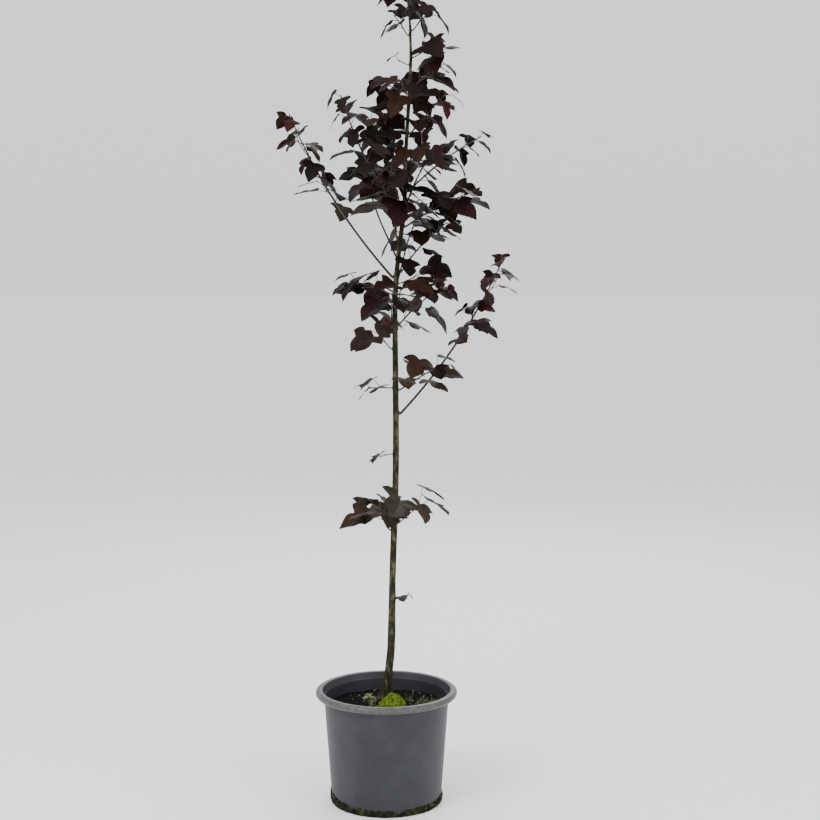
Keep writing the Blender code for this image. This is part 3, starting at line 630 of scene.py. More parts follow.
def side_twigs(shoot, stem, rng):
    """Side twigs of a stem, spread along it and alternating, as routes with radii."""
    points, _ = stem
    made = []
    for number in range(shoot.twigs):
        share = (number + TWIG_FIRST) / (shoot.twigs + TWIG_LAST)
        place, heading = along_route(points, share)
        level = math.degrees(math.atan2(heading.y, heading.x))
        side = level + (TWIG_TURN if number % 2 else -TWIG_TURN)
        side += rng.uniform(-TWIG_TURN_SLACK, TWIG_TURN_SLACK)
        rise, length = rng.uniform(*TWIG_RISE), rng.uniform(*TWIG_LENGTH)
        route = grow(place, shoot._replace(turn=side, rise=rise, length=length))
        made.append((route, [TWIG_TIP_RADIUS] * len(route)))
    return made


class Leaf(NamedTuple):
    """One leaf: where its petiole leaves the twig, where the blade starts, its axes and size."""

    root: Vector
    base: Vector
    ahead: Vector
    up: Vector
    width: float
    fold: float
    curl: float


def leaf_point(leaf, across, along, lift=0.0):
    """A point of the blade, from shares of its width, folded along the midrib and curled."""
    side = leaf.ahead.cross(leaf.up)
    reach = max(along, 0.0)
    height = leaf.fold * abs(across) - leaf.curl * (reach * reach + across * across * SIDE_CURL)
    flat = side * across + leaf.ahead * along + leaf.up * height
    return leaf.base + flat * leaf.width + leaf.up * lift


def leaf_ring(grown=1.0):
    """The outline all the way round, anticlockwise from above, grown about the blade's pole."""
    right = list(LEAF_OUTLINE)
    left = [(-across, along) for across, along in reversed(right[1:-1])]
    return [(across * grown, LEAF_POLE + (along - LEAF_POLE) * grown) for across, along in right + left]


def leaf_guard(leaf):
    """Points and triangles of a blade and petiole a little larger than life, to test for room."""
    ring = [leaf_point(leaf, across, along) for across, along in leaf_ring(ROOM_GROWTH)]
    lift = leaf.width * LEAF_THICK * 0.5 + CLEARANCE
    points = ring + [leaf_point(leaf, 0.0, LEAF_POLE, lift), leaf_point(leaf, 0.0, LEAF_POLE, -lift)]
    count = len(ring)
    faces = []
    for index in range(count):
        after = (index + 1) % count
        faces += [(index, after, count), (after, index, count + 1)]
    return points, faces


def tube_guard(route, radii, sides=3):
    """Points and triangles of a tube a little fatter than a limb, open at its ends."""
    points = []
    for index, (place, radius) in enumerate(zip(route, radii)):
        ahead = route[min(index + 1, len(route) - 1)] - route[max(index - 1, 0)]
        across = ahead.cross(Vector(ROOM_AXIS)).normalized()
        other = ahead.cross(across).normalized()
        for side in range(sides):
            angle = 2.0 * math.pi * side / sides
            out = across * math.cos(angle) + other * math.sin(angle)
            points.append(place + out * (radius + CLEARANCE))
    faces = []
    for a, b, c, d in ring_faces(len(route), sides):
        faces += [(a, b, d), (b, c, d)]
    return points, faces


class Gathered:
    """Points and faces gathered from several shapes."""

    def __init__(self):
        self.points, self.faces = [], []

    def add(self, points, faces):
        shift = len(self.points)
        self.points += points
        self.faces += [tuple(corner + shift for corner in face) for face in faces]


class Guard(Gathered):
    """A growing set of triangles that new leaves keep clear of."""

    tree = None

    def add(self, points, faces):
        super().add(points, faces)
        self.tree = None

    def meets(self, points, faces):
        if not self.faces:
            return False
        if self.tree is None:
            self.tree = BVHTree.FromPolygons(self.points, self.faces)
        return bool(self.tree.overlap(BVHTree.FromPolygons(points, faces)))


def draw_leaf(shoot, twig, share, spin, rng):
    """One try at a leaf on a twig: its petiole spreads round the twig and the blade droops."""
    place, heading = along_route(twig, share)
    level = heading.cross(upward(1.0)).normalized()
    over = level.cross(heading)
    angle = math.radians(spin + rng.uniform(-LEAF_TURN_SLACK, LEAF_TURN_SLACK))
    spread = math.radians(rng.uniform(*PETIOLE_SPREAD) - PETIOLE_CLOSES * share)
    out = level * math.cos(angle) + over * math.sin(angle)
    way = heading * math.cos(spread) + out * math.sin(spread)
    way.z = max(way.z, PETIOLE_LOWEST) + PETIOLE_LIFT
    way.normalize()
    width = shoot.leaf * (1.0 - LEAF_SHRINK * share * share) * rng.uniform(*LEAF_SIZES)
    base = place + way * width * shoot.stalk * rng.uniform(*PETIOLE_SHARE)
    level_way = Vector((way.x, way.y, 0.0))
    if level_way.length < STEEPEST:
        level_way = on_circle(math.degrees(angle))
    droop = math.radians(rng.uniform(*DROOP))
    ahead = level_way.normalized() * math.cos(droop) - upward(math.sin(droop))
    twist = math.radians(rng.uniform(-TWIST, TWIST))
    side = ahead.cross(upward(1.0)).normalized()
    up = side.cross(ahead) * math.cos(twist) + side * math.sin(twist)
    return Leaf(place, base, ahead, up.normalized(), width, rng.uniform(*FOLD), rng.uniform(*CURL))


def crowded(shape, guards):
    """Whether a shape runs into any of the guards."""
    return any(guard.meets(*shape) for guard in guards)


def leaf_plan(shoot, stem, twigs):
    """The route and the place along it of each leaf of a mass: three to a twig, the rest on the stem."""
    on_stem = shoot.leaves - LEAVES_A_TWIG * len(twigs)
    plan = []
    for (route, _), count in [(stem, on_stem)] + [(twig, LEAVES_A_TWIG) for twig in twigs]:
        start = 1.0 if count < LEAVES_A_SHORT_STEM else FIRST_LEAF
        plan += [(route, min(1.0, (number + start) / count) ** LEAF_SPACING) for number in range(count)]
    return plan


def grow_leaves(shoot, stem, twigs, guards, rng):
    """The leaves of a mass, in a spiral, each with room of its own, and what they fill."""
    own, filled = Guard(), Guard()
    for route, radii in [stem] + twigs:
        own.add(*tube_guard(route, radii))
    leaves = []
    for order, (route, share) in enumerate(leaf_plan(shoot, stem, twigs)):
        for attempt in range(LEAF_TRIES):
            leaf = draw_leaf(shoot, route, share, shoot.spin + LEAF_TURN * order, rng)
            blade = leaf_guard(leaf)
            stalk_end = leaf_point(leaf, 0.0, PETIOLE_SUNK)
            stalk = tube_guard([leaf.root, stalk_end], [PETIOLE_RADIUS] * 2, LIMB_SIDES)
            if crowded(blade, guards) or crowded(stalk, guards):
                continue
            if attempt < OWN_TRIES and own.meets(*blade):
                continue
            own.add(*blade)
            filled.add(*blade)
            filled.add(*stalk)
            leaves.append(leaf)
            break
    return leaves, filled


def trunk_guard():
    """The trunk as triangles to keep clear of."""
    rings = [trunk_at(height) for height in trunk_heights()]
    return tube_guard([centre for centre, _ in rings], [radius for _, radius in rings], LIMB_SIDES)


def placed(name, data):
    """A new object of the data, in the scene."""
    obj = bpy.data.objects.new(name, data)
    bpy.context.scene.collection.objects.link(obj)
    return obj


class Shape(Gathered):
    """Points and faces gathered for one piece."""

    def piece(self, name, look, slot, nodes=(), smooth=SMOOTH_ANGLE):
        """Makes the piece, with a look by name. It rides on the part and stands for the nodes."""
        mesh = bpy.data.meshes.new(name)
        mesh.from_pydata([tuple(point) for point in self.points], [], self.faces)
        mesh.validate()
        mesh.shade_smooth()
        mesh.set_sharp_from_angle(angle=math.radians(smooth))
        mesh.materials.append(material(look))
        obj = placed(name, mesh)
        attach(obj, "root")
        if nodes:
            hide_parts(*nodes)


def ring_faces(rows, sides, start=0):
    """Faces between rows of points that go round."""
    faces = []
    for row in range(rows - 1):
        for side in range(sides):
            a = start + row * sides + side
            b = start + row * sides + (side + 1) % sides
            faces.append((a, b, b + sides, a + sides))
    return faces


def capped_faces(rows, sides):
    """Faces between rows of points that go round, with the first and last row closed."""
    ends = [tuple(reversed(range(sides))), tuple(range((rows - 1) * sides, rows * sides))]
    return ring_faces(rows, sides) + ends


def smooth_route(points, radii, steps):
    """The route and radii resampled on an eased curve through the points."""
    route, widths = [], []
    last = len(points) - 1
    for index in range(last):
        a, b = points[max(index - 1, 0)], points[index]
        c, d = points[index + 1], points[min(index + 2, last)]
        for step in range(steps):
            share = step / steps
            spot = []
            for n in range(3):
                spot.append(eased(b[n], c[n], (c[n] - a[n]) / 2.0, (d[n] - b[n]) / 2.0, share))
            route.append(Vector(spot))
            widths.append(radii[index] + (radii[index + 1] - radii[index]) * share)
    return route + [points[-1].copy()], widths + [radii[-1]]


def add_tube(shape, route, radii, sides, relief=None):
    """A round limb with closed ends. Relief gives extra radius from a place, a way out and a row."""
    points = []
    across = (route[1] - route[0]).cross(Vector(ROOM_AXIS)).normalized()
    for index, (place, radius) in enumerate(zip(route, radii)):
        ahead = (route[min(index + 1, len(route) - 1)] - route[max(index - 1, 0)]).normalized()
        across = (across - ahead * across.dot(ahead)).normalized()
        other = ahead.cross(across)
        for side in range(sides):
            angle = 2.0 * math.pi * side / sides
            out = across * math.cos(angle) + other * math.sin(angle)
            more = relief(place + out * radius, out, index) if relief else 0.0
            points.append(place + out * (radius + more))
    shape.add(points, capped_faces(len(route), sides))


def add_drop(shape, place, ahead, length, radius, sides=6, rows=5):
    """A small pointed bud or lump along a direction."""
    route, radii = [], []
    for row in range(rows):
        route.append(place + ahead * length * row / (rows - 1))
        share = DROP_START + DROP_SPAN * row / (rows - 1)
        radii.append(radius * math.sin(math.pi * share) ** DROP_FULL)
    add_tube(shape, route, radii, sides)


def add_turned(shape, profile, turns):
    """A turned skin from a closed profile, whose (radius, height) points go clockwise."""
    points = []
    for radius, height in (profile + profile[:1])[::-1]:
        points += [on_circle(360.0 * n / turns, radius) + upward(height) for n in range(turns)]
    shape.add(points, ring_faces(len(profile) + 1, turns))


def material(name):
    """The Principled material of a look: two or three colours that mix, with a fine bump."""
    look = LOOKS[name]
    made = bpy.data.materials.new(name)
    made.use_nodes = True
    nodes, links = made.node_tree.nodes, made.node_tree.links
    shader = nodes["Principled BSDF"]
    shader.inputs["Roughness"].default_value = look.roughness
    shader.inputs["Specular IOR Level"].default_value = look.gloss
    place = nodes.new("ShaderNodeTexCoord")
    spread = nodes.new("ShaderNodeMapping")
    spread.inputs["Scale"].default_value = (1.0, 1.0, 1.0 / look.stretch)
    links.new(place.outputs["Object"], spread.inputs["Vector"])
    pattern = nodes.new("ShaderNodeTexNoise")
    pattern.inputs["Scale"].default_value = look.scale
    pattern.inputs["Detail"].default_value = PATTERN_DETAIL
    pattern.inputs["Roughness"].default_value = PATTERN_ROUGHNESS
    links.new(spread.outputs["Vector"], pattern.inputs["Vector"])
    ramp = nodes.new("ShaderNodeValToRGB")
    stops = ramp.color_ramp.elements
    stops[0].position, stops[0].color = COLOUR_STOPS[0], (*look.low, 1.0)
    stops[1].position, stops[1].color = COLOUR_STOPS[2], (*look.high, 1.0)
    if look.middle:
        stops.new(COLOUR_STOPS[1]).color = (*look.middle, 1.0)
    links.new(pattern.outputs["Fac"], ramp.inputs["Fac"])
    links.new(ramp.outputs["Color"], shader.inputs["Base Color"])
    grain = nodes.new("ShaderNodeTexNoise")
    grain.inputs["Scale"].default_value = look.scale * GRAIN_FINER
    grain.inputs["Detail"].default_value = GRAIN_DETAIL
    links.new(spread.outputs["Vector"], grain.inputs["Vector"])
    raised = nodes.new("ShaderNodeBump")
    raised.inputs["Strength"].default_value = look.bump
    raised.inputs["Distance"].default_value = look.depth
    links.new(grain.outputs["Fac"], raised.inputs["Height"])
    links.new(raised.outputs["Normal"], shader.inputs["Normal"])
    return made


def blade_ring():
    """The fine outline all the way round, anticlockwise from above, with its small teeth."""
    right = []
    for section, steps in zip(BLADE_SECTIONS, SECTION_STEPS):
        soft = [Vector((*point, 0.0)) for point in section]
        flat, _ = smooth_route(soft, [0.0] * len(soft), SECTION_CURVE)
        for step in range(steps):
            at = flat[round(step / steps * (len(flat) - 1))]
            tooth = TOOTH * (1.0 if step % 2 else TOOTH_NOTCH) if step else 0.0
            out = Vector((at.x, at.y - LEAF_POLE, 0.0)).normalized()
            right.append((at.x + out.x * tooth, at.y + out.y * tooth))
    right.append(BLADE_SECTIONS[-1][-1])
    left = [(-across, along) for across, along in reversed(right[1:-1])]
    return right + left


def vein_relief(across, along):
    """How deep the blade dips at a point, as a share of its width: most along its main veins."""
    depth = 0.0
    for end in VEIN_ENDS:
        way = Vector((end[0], end[1] - VEIN_START))
        offset = Vector((across, along - VEIN_START))
        share = min(max(offset.dot(way) / way.length_squared, 0.0), 1.0)
        away = (offset - way * share).length
        depth = max(depth, math.exp(-((away / VEIN_WIDTH) ** 2)) * (1.0 - VEIN_FADE * share))
    return depth * VEIN_DEPTH


def add_blade(shape, leaf, ring, phase):
    """A thin closed blade with its veins, waves and toothed edge."""
    count = len(ring)

    def at(across, along, reach, side):
        heading = math.atan2(along - LEAF_POLE, across)
        wave = RUFFLE * math.sin(RUFFLE_WAVES * heading + phase) * reach * reach
        lift = (wave - vein_relief(across, along)) * leaf.width + side * BLADE_HALF_THICK
        return leaf_point(leaf, across, along, lift)

    def skin(reach, side):
        return [at(x * reach, LEAF_POLE + (y - LEAF_POLE) * reach, reach, side) for x, y in ring]

    points = [at(0.0, LEAF_POLE, 0.0, 1.0)]
    for reach in BLADE_RINGS:
        points += skin(reach, 1.0)
    points += [at(x, y, 1.0, 0.0) for x, y in ring]
    for reach in reversed(BLADE_RINGS):
        points += skin(reach, -1.0)
    points.append(at(0.0, LEAF_POLE, 0.0, -1.0))
    rows = 2 * len(BLADE_RINGS) + 1
    faces = [(0, 1 + (n + 1) % count, 1 + n) for n in range(count)]
    faces += [face[::-1] for face in ring_faces(rows, count, 1)]
    last, low = len(points) - 1, 1 + (rows - 1) * count
    faces += [(last, low + n, low + (n + 1) % count) for n in range(count)]
    shape.add(points, [face[::-1] for face in faces])


def add_petiole(shape, leaf):
    """A slim stalk that bows a little and runs on under the midrib."""
    span = leaf.base - leaf.root
    route = []
    for step in range(PETIOLE_STEPS + 1):
        share = step / PETIOLE_STEPS
        bow = upward(PETIOLE_BOW * span.length * math.sin(math.pi * share))
        route.append(leaf.root + span * share + bow)
    for along in PETIOLE_UNDER:
        dip = -vein_relief(0.0, along) * leaf.width - PETIOLE_UNDER_BY
        route.append(leaf_point(leaf, 0.0, along, dip))
    add_tube(shape, route, PETIOLE_RADII, PETIOLE_SIDES)


def tint_of(leaf, rng):
    """A leaf's tint: olive or brown low down, some small ones red as painted backlight and some far right
    violet as painted sheen, else dark.
    """
    chance = rng.random()
    if leaf.base.z < OLIVE_BELOW:
        return "olive" if chance < OLIVE_SHARE else "brown"
    # Painted backlight: small leaves drawn red, as if lit through from behind
    if leaf.width < BACKLIT_RED_WIDTH and chance < BACKLIT_RED_SHARE:
        return "backlit_red"
    # Painted sheen: far-right leaves drawn violet, for the sheen of light on them
    if leaf.base.x > VIOLET_SHEEN_BEYOND and chance < VIOLET_SHEEN_SHARE:
        return "violet_sheen"
    if leaf.base.z < BROWN_BELOW and chance < BROWN_SHARE:
        return "brown"
    return COMMON_TINTS[int(chance * TINT_SPRAY) % len(COMMON_TINTS)]


def grow_crown():
    """The routes and leaves of every shoot, grown as the model's are."""
    limbs = Guard()
    limbs.add(*trunk_guard())
    planned = []
    for shoot in SHOOTS:
        rng = random.Random(shoot.seed)
        bough, stem = split_route(shoot)
        planned.append((shoot, bough, stem, side_twigs(shoot, stem, rng), rng))
        if bough:
            limbs.add(*tube_guard(*bough, LIMB_SIDES))
    crowd, grown = Guard(), []
    for shoot, bough, stem, twigs, rng in planned:
        neighbours = Guard()
        for other, _, route, more, _ in planned:
            if other is not shoot:
                for branch in [route] + more:
                    neighbours.add(*tube_guard(*branch, LIMB_SIDES))
        leaves, filled = grow_leaves(shoot, stem, twigs, (limbs, neighbours, crowd), rng)
        crowd.add(filled.points, filled.faces)
        grown.append((shoot, bough, stem, twigs, leaves))
    return grown


def sunk_route(route, radii):
    """A route that starts a little inside what carries it."""
    back = (route[0] - route[1]).normalized()
    return [route[0] + back * SUNK] + list(route), [radii[0]] + list(radii)


def make_foliage(grown):
    """Leaves by tint, stalks, green twigs and buds, each kind joined."""
    ring = blade_ring()
    rng = random.Random(TINT_SEED)
    blades = {name: Shape() for name in LEAF_TINTS}
    held = {name: [] for name in LEAF_TINTS}
    stalks, stems, buds = Shape(), Shape(), Shape()
    nodes = []
    for shoot, _, stem, twigs, leaves in grown:
        node = shoot.name + "_leaves"
        nodes.append(node)
        for route, radii in [stem] + twigs:
            route, radii = sunk_route(*smooth_route(route, radii, SMOOTH_STEPS))
            add_tube(stems, route, radii, TWIG_SIDES)
            add_drop(buds, route[-1], (route[-1] - route[-2]).normalized(), BUD_LENGTH, BUD_RADIUS)
        for leaf in leaves:
            tint = tint_of(leaf, rng)
            add_blade(blades[tint], leaf, ring, rng.uniform(0.0, RUFFLE_PHASE))
            if node not in held[tint]:
                held[tint].append(node)
            add_petiole(stalks, leaf)
            way = (leaf.base - leaf.root).normalized() + upward(SIDE_BUD_LIFT)
            add_drop(buds, leaf.root, way.normalized(), SIDE_BUD_LENGTH, SIDE_BUD_RADIUS)
    for name in LEAF_TINTS:
        if held[name]:
            blades[name].piece("leaves_" + name, "leaf_" + name, "leaf", held[name], LEAF_SMOOTH_ANGLE)
    stalks.piece("petioles", "petiole", "leaf", nodes)
    stems.piece("twigs", "twig", "leaf", nodes)
    buds.piece("buds", "bud", "leaf")


def flare(above, heading):
    """How far the trunk's foot spreads at a height above the soil, in a direction in degrees."""
    spread = 0.0
    for toe, reach in FLARE_TOES:
        off = (heading - toe + 180.0) % 360.0 - 180.0
        spread += reach * math.exp(-((off / FLARE_TOE_WIDTH) ** 2))
    return spread * math.exp(-((above / FLARE_HEIGHT) ** 2))


def bark_noise(out, height, scale):
    """Noise on the trunk by the way out from its axis and the height, at a scale round and up."""
    return noise.noise(Vector((out.x * scale[0], out.y * scale[0], height * scale[1])))


def bough_relief(place, out, row):
    """The fine grain of a bough's bark, which a tube asks for by place, way out and row."""
    return BARK_GRAIN * noise.noise(place * BOUGH_GRAIN_SCALE)


def make_wood(grown):
    """Trunk and boughs with the relief of their bark."""
    foot, tip = TRUNK[0].height, TRUNK[-1].height
    count = round((tip - foot) / BARK_STEP)
    heights = [foot + (tip - foot) * row / count for row in range(count + 1)]
    rings = [trunk_at(height) for height in heights]
    feet = [(shoot.foot, on_circle(shoot.turn)) for shoot in SHOOTS if shoot.foot < tip]

    def relief(place, out, row):
        height = heights[row]
        above = height - foot
        more = 0.0
        if above < FLARE_END:
            more += flare(above, math.degrees(math.atan2(out.y, out.x)))
        furrow = bark_noise(out, height, BARK_FURROW_SCALE)
        depth = BARK_FURROW_LEAST + math.exp(-above * BARK_FURROW_FADE)
        more += BARK_FURROW * furrow * depth + BARK_GRAIN * bark_noise(out, height, BARK_GRAIN_SCALE)
        for level, way in feet:
            near = (height - level) / SCAR_HEIGHT
            if abs(near) < SCAR_REACH:
                more += SCAR_SWELL * math.exp(-near * near) * max(out.dot(way), 0.0)
        return more

    trunk, boughs = Shape(), Shape()
    add_tube(trunk, [centre for centre, _ in rings], [radius for _, radius in rings], BARK_SIDES, relief)
    nodes = []
    for shoot, bough, _, _, _ in grown:
        if bough:
            nodes.append(shoot.name + "_bough")
            route, radii = sunk_route(*smooth_route(*bough, 2 * SMOOTH_STEPS))
            swell = [BOUGH_COLLAR * math.exp(-row / BOUGH_COLLAR_ROWS) for row in range(len(radii))]
            widths = [radius * (BOUGH_SLIM + more) for radius, more in zip(radii, swell)]
            add_tube(boughs, route, widths, BOUGH_SIDES, bough_relief)
    trunk.piece("trunk_bark", "bark", "bark", ["trunk"])
    boughs.piece("bough_bark", "young_bark", "bark", nodes)


def make_pot():
    """The pot's body with its rounded foot, and the hollow rolled lip, its inward side painted shade in the
    body's dark material.
    """
    roll_radius, roll_height = RIM_RADIUS - LIP_ROLL, POT_HEIGHT - LIP_ROLL
    neck = wall_radius(POT_NECK_HEIGHT)
    inner = neck - POT_WALL
    body, lip = Shape(), Shape()
    foot = []
    for step in range(ARC_STEPS + 1):
        angle = math.radians(90.0 * step / ARC_STEPS)
        radius = wall_radius(POT_FOOT_ROUND) - POT_FOOT_ROUND * (1.0 - math.cos(angle))
        foot.append((radius, POT_FOOT_ROUND * (1.0 - math.sin(angle))))
    heights = [POT_NECK_HEIGHT * (1.0 - step / WALL_STEPS) for step in range(WALL_STEPS - 1)]
    wall = [(wall_radius(height), height) for height in heights]
    floor = [(POT_AXIS_RADIUS, 0.0), (POT_AXIS_RADIUS, POT_FLOOR)]
    floor.append((wall_radius(POT_FLOOR) - POT_WALL, POT_FLOOR))
    add_turned(body, wall + foot + floor + [(inner, POT_NECK_HEIGHT)], POT_TURNS)
    outer, under = [], []
    for step in range(LIP_STEPS + 1):
        turn = LIP_FROM - LIP_TURN * step / LIP_STEPS
        across, up = math.cos(math.radians(turn)), math.sin(math.radians(turn))
        if turn > 90.0:
            across, up = -((-across) ** LIP_BOXY), up**LIP_BOXY
        for rows, radius in ((outer, LIP_ROLL), (under, LIP_ROLL - LIP_THICK)):
            rows.append((roll_radius + radius * across, roll_height + radius * up))
    # Painted shade: the lip's inward side is a thin strip in the body's dark material, as if in shadow
    painted_shade = [spot for spot in outer if spot[0] < roll_radius - LIP_ROLL * LIP_INNER]
    back = [(radius + PAINTED_SHADE_THICK, height - PAINTED_SHADE_THICK) for radius, height in painted_shade[::-1]]
    low = POT_NECK_HEIGHT - LIP_OVERLAP
    add_turned(body, [(neck - LIP_SUNK, low), (inner, low)] + painted_shade + back, POT_TURNS)
    body.piece("pot_body", "pot_plastic", "pot_plastic", ["pot"])
    pale_from = len(painted_shade) - 1
    add_turned(lip, outer[pale_from:] + under[pale_from:][::-1], POT_TURNS)
    lip.piece("pot_lip", "pot_lip", "pot_plastic", ["pot"])


def crust_top(angle, way):
    """The height of the crust's upper edge in a direction, given in degrees and as a vector."""
    top = CRUST_HEIGHT + CRUST_LEFT * max(-way.x, 0.0) ** 3 + CRUST_RIGHT * max(way.x, 0.0) ** 4
    for size, scale, shift in CRUST_TOP_WAVES:
        top += size * noise.noise(way * scale + Vector(shift))
    off = (angle - CRUST_NOTCH_AT) / CRUST_NOTCH_WIDTH
    return top * (1.0 - CRUST_NOTCH * math.exp(-(off**2)))


def make_crust():
    """Dark damp growth round the foot of the pot's wall, thickest about halfway up it."""
    crust = Shape()
    points = []
    for row in range(CRUST_ROWS):
        share = row / (CRUST_ROWS - 1)
        swell = math.sin(math.pi * min(CRUST_SWELL_FROM + (1.0 - CRUST_SWELL_FROM) * share, 1.0))
        for turn in range(CRUST_TURNS):
            angle = 360.0 * turn / CRUST_TURNS
            way = on_circle(angle)
            height = CRUST_FROM + crust_top(angle, way) * share
            lump = 0.0
            for size, scale, rise in CRUST_LUMPS:
                lump += size * noise.noise(way * scale + upward(share * rise))
            proud = max((CRUST_PROUD + CRUST_LUMP * lump) * swell**CRUST_SWELL_FULL, 0.0)
            points.append(way * (wall_radius(height) + proud - CRUST_SUNK_EDGE) + upward(height))
    for row in reversed(range(CRUST_ROWS)):
        for turn in range(CRUST_TURNS):
            height = points[row * CRUST_TURNS + turn].z
            radius = wall_radius(height) - CRUST_SUNK
            points.append(on_circle(360.0 * turn / CRUST_TURNS, radius) + upward(height))
    points += points[:CRUST_TURNS]
    crust.add(points, ring_faces(2 * CRUST_ROWS + 1, CRUST_TURNS))
    crust.piece("crust", "crust", "moss")


def soil_height(x, y):
    """The soil's fine surface: the model's level middle and lower edge, with crumbs."""
    radius = math.hypot(x, y)
    drop = max(radius - SOIL_LEVEL_RADIUS, 0.0) / (POT_NECK_RADIUS - SOIL_LEVEL_RADIUS)
    crumbs = 0.0
    for size, level, scale in SOIL_CRUMBS:
        crumbs += size * noise.noise(Vector((x, y, level)) * scale)
    level, scale = SOIL_LUMPS
    lumps = noise.noise(Vector((x, y, level)) * scale) * min(radius / SOIL_LEVEL_RADIUS, 1.0)
    rough = SOIL_CRUMBS_SHARE * crumbs + SOIL_LUMPS_SHARE * lumps
    return SOIL_TOP - SOIL_EDGE_DROP * drop + SOIL_ROUGH * rough


def make_soil():
    """The soil's crumbly surface, closed below, and the litter on it."""
    soil = Shape()
    edge = wall_radius(SOIL_TOP - SOIL_EDGE_DROP) - POT_WALL
    points = []
    for row in range(SOIL_RING_COUNT + 1):
        radius = max(edge * row / SOIL_RING_COUNT, SOIL_AXIS_RADIUS)
        for turn in range(SOIL_TURNS):
            spot = on_circle(360.0 * turn / SOIL_TURNS, radius)
            points.append((spot.x, spot.y, soil_height(spot.x, spot.y)))
    for radius in (wall_radius(SOIL_UNDERSIDE) - POT_WALL - GAP, SOIL_AXIS_RADIUS):
        for turn in range(SOIL_TURNS):
            points.append(on_circle(360.0 * turn / SOIL_TURNS, radius) + upward(SOIL_UNDERSIDE))
    soil.add(points, capped_faces(SOIL_RING_COUNT + 3, SOIL_TURNS))
    soil.piece("soil_surface", "compost", "compost", ["soil"])
    make_litter(edge)


def make_litter(edge):
    """The loose grit, husks and bark chips on the soil, up to near its edge."""
    rng = random.Random(GRIT_SEED)
    chips, grit = Shape(), Shape()
    for number in range(GRIT_COUNT):
        spot = on_circle(rng.uniform(0.0, 360.0), (edge - GRIT_FROM_EDGE) * math.sqrt(rng.random()))
        way = on_circle(rng.uniform(0.0, 360.0)) + upward(rng.uniform(*GRIT_TILT))
        length = rng.uniform(*GRIT_LENGTH)
        place = Vector((spot.x, spot.y, soil_height(spot.x, spot.y) + GRIT_LIFT))
        shape = chips if number % PALE_EVERY else grit
        slim = length * rng.uniform(*GRIT_SLIM)
        add_drop(shape, place, way.normalized(), length, slim, *LITTER_FORM)
    chips.piece("bark_chips", "chips", "compost")
    grit.piece("grit", "grit", "compost")


def moss_swell(spot, lift, radius, place):
    """How much a cushion swells at a spot, as a share: its surface is ragged."""
    seen = Vector((spot.x, spot.y, lift * radius))
    return 1.0 + MOSS_RAGGED * noise.noise(seen * MOSS_RAGGED_SCALE + place * MOSS_RAGGED_SHIFT)


def add_cushion(shape, place, radius, height, tufts, rng):
    """A pointed cushion of moss, bristling with short tufts."""
    points = []
    for row in range(MOUND_ROWS):
        lift = math.radians(MOUND_STEEPEST * row / (MOUND_ROWS - 1))
        for turn in range(MOUND_TURNS):
            spot = on_circle(360.0 * turn / MOUND_TURNS, radius * math.cos(lift) ** (1.0 / MOUND_POINT))
            swell = moss_swell(spot, lift, radius, place)
            points.append(place + spot * swell + upward(height * math.sin(lift) * swell - MOUND_SUNK))
    shape.add(points, capped_faces(MOUND_ROWS, MOUND_TURNS))
    for _ in range(tufts):
        lift, turn = math.asin(rng.random()), rng.uniform(0.0, 360.0)
        out = on_circle(turn, math.cos(lift)) + upward(math.sin(lift))
        reach = radius * math.cos(lift) ** (1.0 / MOUND_POINT - 1.0)
        spot = Vector((out.x * reach, out.y * reach, out.z * height))
        at = place + spot * moss_swell(spot, lift, radius, place) - upward(MOUND_SUNK)
        lean = Vector([rng.uniform(-TUFT_LEAN, TUFT_LEAN) for _ in range(3)])
        way = (out + lean + upward(TUFT_LIFT)).normalized()
        add_drop(shape, at, way, rng.uniform(*TUFT_LENGTH), TUFT_RADIUS, *TUFT_FORM)


def make_moss():
    """The mound of moss, and thin cushions round it."""
    moss = Shape()
    rng = random.Random(MOSS_SEED)
    centre = Vector((*MOSS_CENTRE, SOIL_TOP))
    add_cushion(moss, centre, MOUND_RADIUS, MOUND_HEIGHT, TUFT_COUNT, rng)
    for angle, away, radius in CUSHIONS:
        tufts = round(TUFT_COUNT * (radius / MOSS_RADIUS) ** 2)
        add_cushion(moss, centre + on_circle(angle, away), radius, radius * CUSHION_RISE, tufts, rng)
    moss.piece("moss_mound", "moss", "moss", ["moss"])


def add_pale_shoot(pale, dark, shoot, rng):
    """A shoot that arches over and curls back, with small leaves, some of them dark."""
    start, turn, reach, rise = shoot
    shares = [step / PALE_STEPS for step in range(PALE_STEPS + 1)]
    route = []
    for share in shares:
        curl = on_circle(turn, reach * (1.0 - math.cos(PALE_CURL * share)) * 0.5)
        spot = Vector((start, PALE_Y, SOIL_TOP)) + curl
        route.append(spot + upward(rise * math.sin(PALE_ARCH * share)))
    radii = [PALE_RADIUS * math.sin(PALE_TAPER + PALE_ARCH * n / PALE_STEPS) for n in range(PALE_STEPS + 1)]
    add_tube(pale, route, radii, PALE_SIDES)
    for spot in route[PALE_LEAVES]:
        for side in (-1.0, 1.0):
            out = Vector([rng.uniform(*span) for span in PALE_LEAF_WAY])
            out.x *= side
            shape = dark if rng.random() < PALE_LEAF_DARK else pale
            length = rng.uniform(*PALE_LEAF_LENGTH)
            add_drop(shape, spot, out.normalized(), length, PALE_LEAF_RADIUS, *LITTER_FORM)


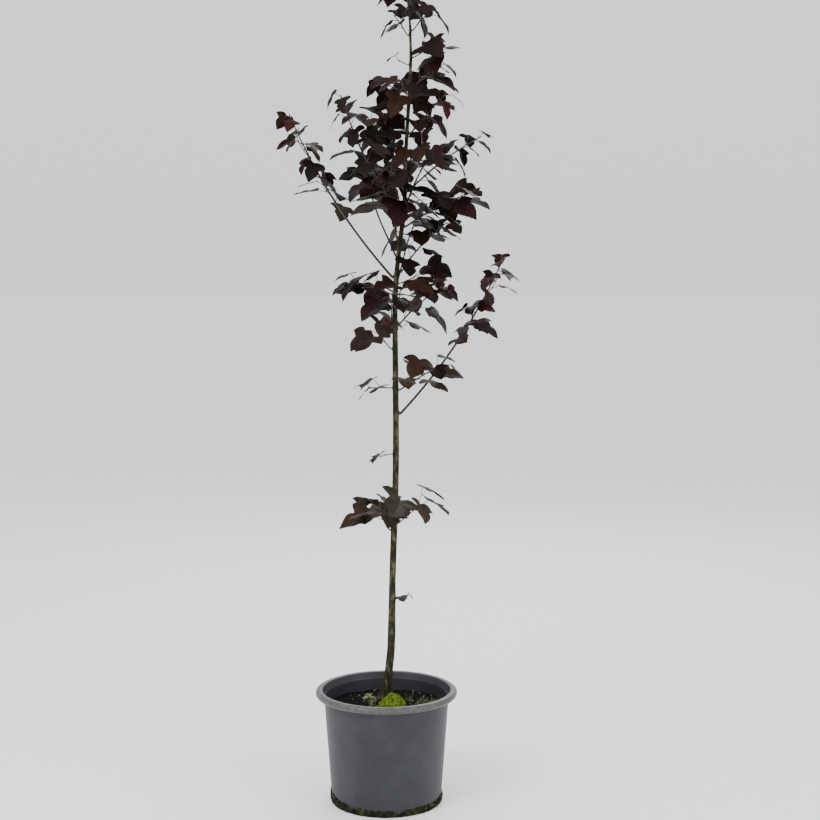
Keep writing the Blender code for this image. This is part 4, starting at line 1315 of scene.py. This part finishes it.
def make_weeds():
    """Pale curled shoots left of the trunk, and small dark weeds and a stick to its right."""
    rng = random.Random(WEED_SEED)
    pale, dark = Shape(), Shape()
    for shoot in PALE_SHOOTS:
        add_pale_shoot(pale, dark, shoot, rng)
    for _ in range(WEED_COUNT):
        spot = Vector((rng.uniform(*WEED_X), rng.uniform(*WEED_Y), 0.0))
        if spot.length > WEED_WITHIN:
            continue
        spot.z = soil_height(spot.x, spot.y)
        for _ in range(rng.randint(*WEED_BLADES)):
            way = on_circle(rng.uniform(0.0, 360.0)) + upward(rng.uniform(*WEED_RISE))
            tip = spot + way * WEED_TIP + Vector((way.x, way.y, 0.0)) * WEED_TIP_OUT
            add_tube(dark, [spot, spot + way * WEED_MIDDLE, tip], WEED_RADII, WEED_SIDES)
    foot = Vector(STICK_PLACE)
    add_tube(dark, [foot + Vector(place) for place in STICK_ROUTE], STICK_RADII, STICK_SIDES)
    pale.piece("pale_shoots", "pale_shoots", "moss")
    dark.piece("weeds", "weeds", "moss")


def area_light(name, place, aim, size, power):
    """A large soft light that points at a place."""
    data = bpy.data.lights.new(name, "AREA")
    data.shape = "DISK"
    data.size, data.energy = size, power
    lamp = placed(name, data)
    lamp.location = place
    lamp.rotation_euler = (Vector(aim) - Vector(place)).to_track_quat("-Z", "Y").to_euler()


def make_floor():
    """A wide pale floor."""
    half = FLOOR_HALF
    mesh = bpy.data.meshes.new("floor")
    corners = [(-half, -half, 0.0), (half, -half, 0.0), (half, half, 0.0), (-half, half, 0.0)]
    mesh.from_pydata(corners, [], [(0, 1, 2, 3)])
    floor = placed("floor", mesh)
    paint = bpy.data.materials.new("floor")
    paint.use_nodes = True
    shader = paint.node_tree.nodes["Principled BSDF"]
    shader.inputs["Base Color"].default_value = FLOOR_COLOUR
    shader.inputs["Roughness"].default_value = FLOOR_ROUGHNESS
    mesh.materials.append(paint)


def make_sky():
    """A pale sky that meets the floor's tone at the horizon and is a little lighter above."""
    world = bpy.data.worlds.new("studio")
    world.use_nodes = True
    nodes, links = world.node_tree.nodes, world.node_tree.links
    sky = nodes["Background"]
    sky.inputs["Strength"].default_value = SKY_STRENGTH
    place = nodes.new("ShaderNodeTexCoord")
    split = nodes.new("ShaderNodeSeparateXYZ")
    ramp = nodes.new("ShaderNodeValToRGB")
    stops = ramp.color_ramp.elements
    stops[0].color = SKY_LOW
    stops[1].position, stops[1].color = SKY_HIGH_FROM, SKY_HIGH
    links.new(place.outputs["Generated"], split.inputs["Vector"])
    links.new(split.outputs["Z"], ramp.inputs["Fac"])
    links.new(ramp.outputs["Color"], sky.inputs["Color"])
    bpy.context.scene.world = world


def make_camera():
    """The camera at the photograph's place."""
    data = bpy.data.cameras.new("camera")
    data.lens, data.sensor_width = CAMERA_LENS, CAMERA_SENSOR
    camera = placed("camera", data)
    camera.location = CAMERA_PLACE
    camera.rotation_euler = (math.radians(90.0 - CAMERA_TILT), 0.0, 0.0)
    bpy.context.scene.camera = camera


make_floor()
make_sky()
for name, settings in LIGHTS.items():
    area_light(name, *settings)
make_camera()
crown = grow_crown()
make_wood(crown)
make_foliage(crown)
make_pot()
make_crust()
make_soil()
make_moss()
make_weeds()
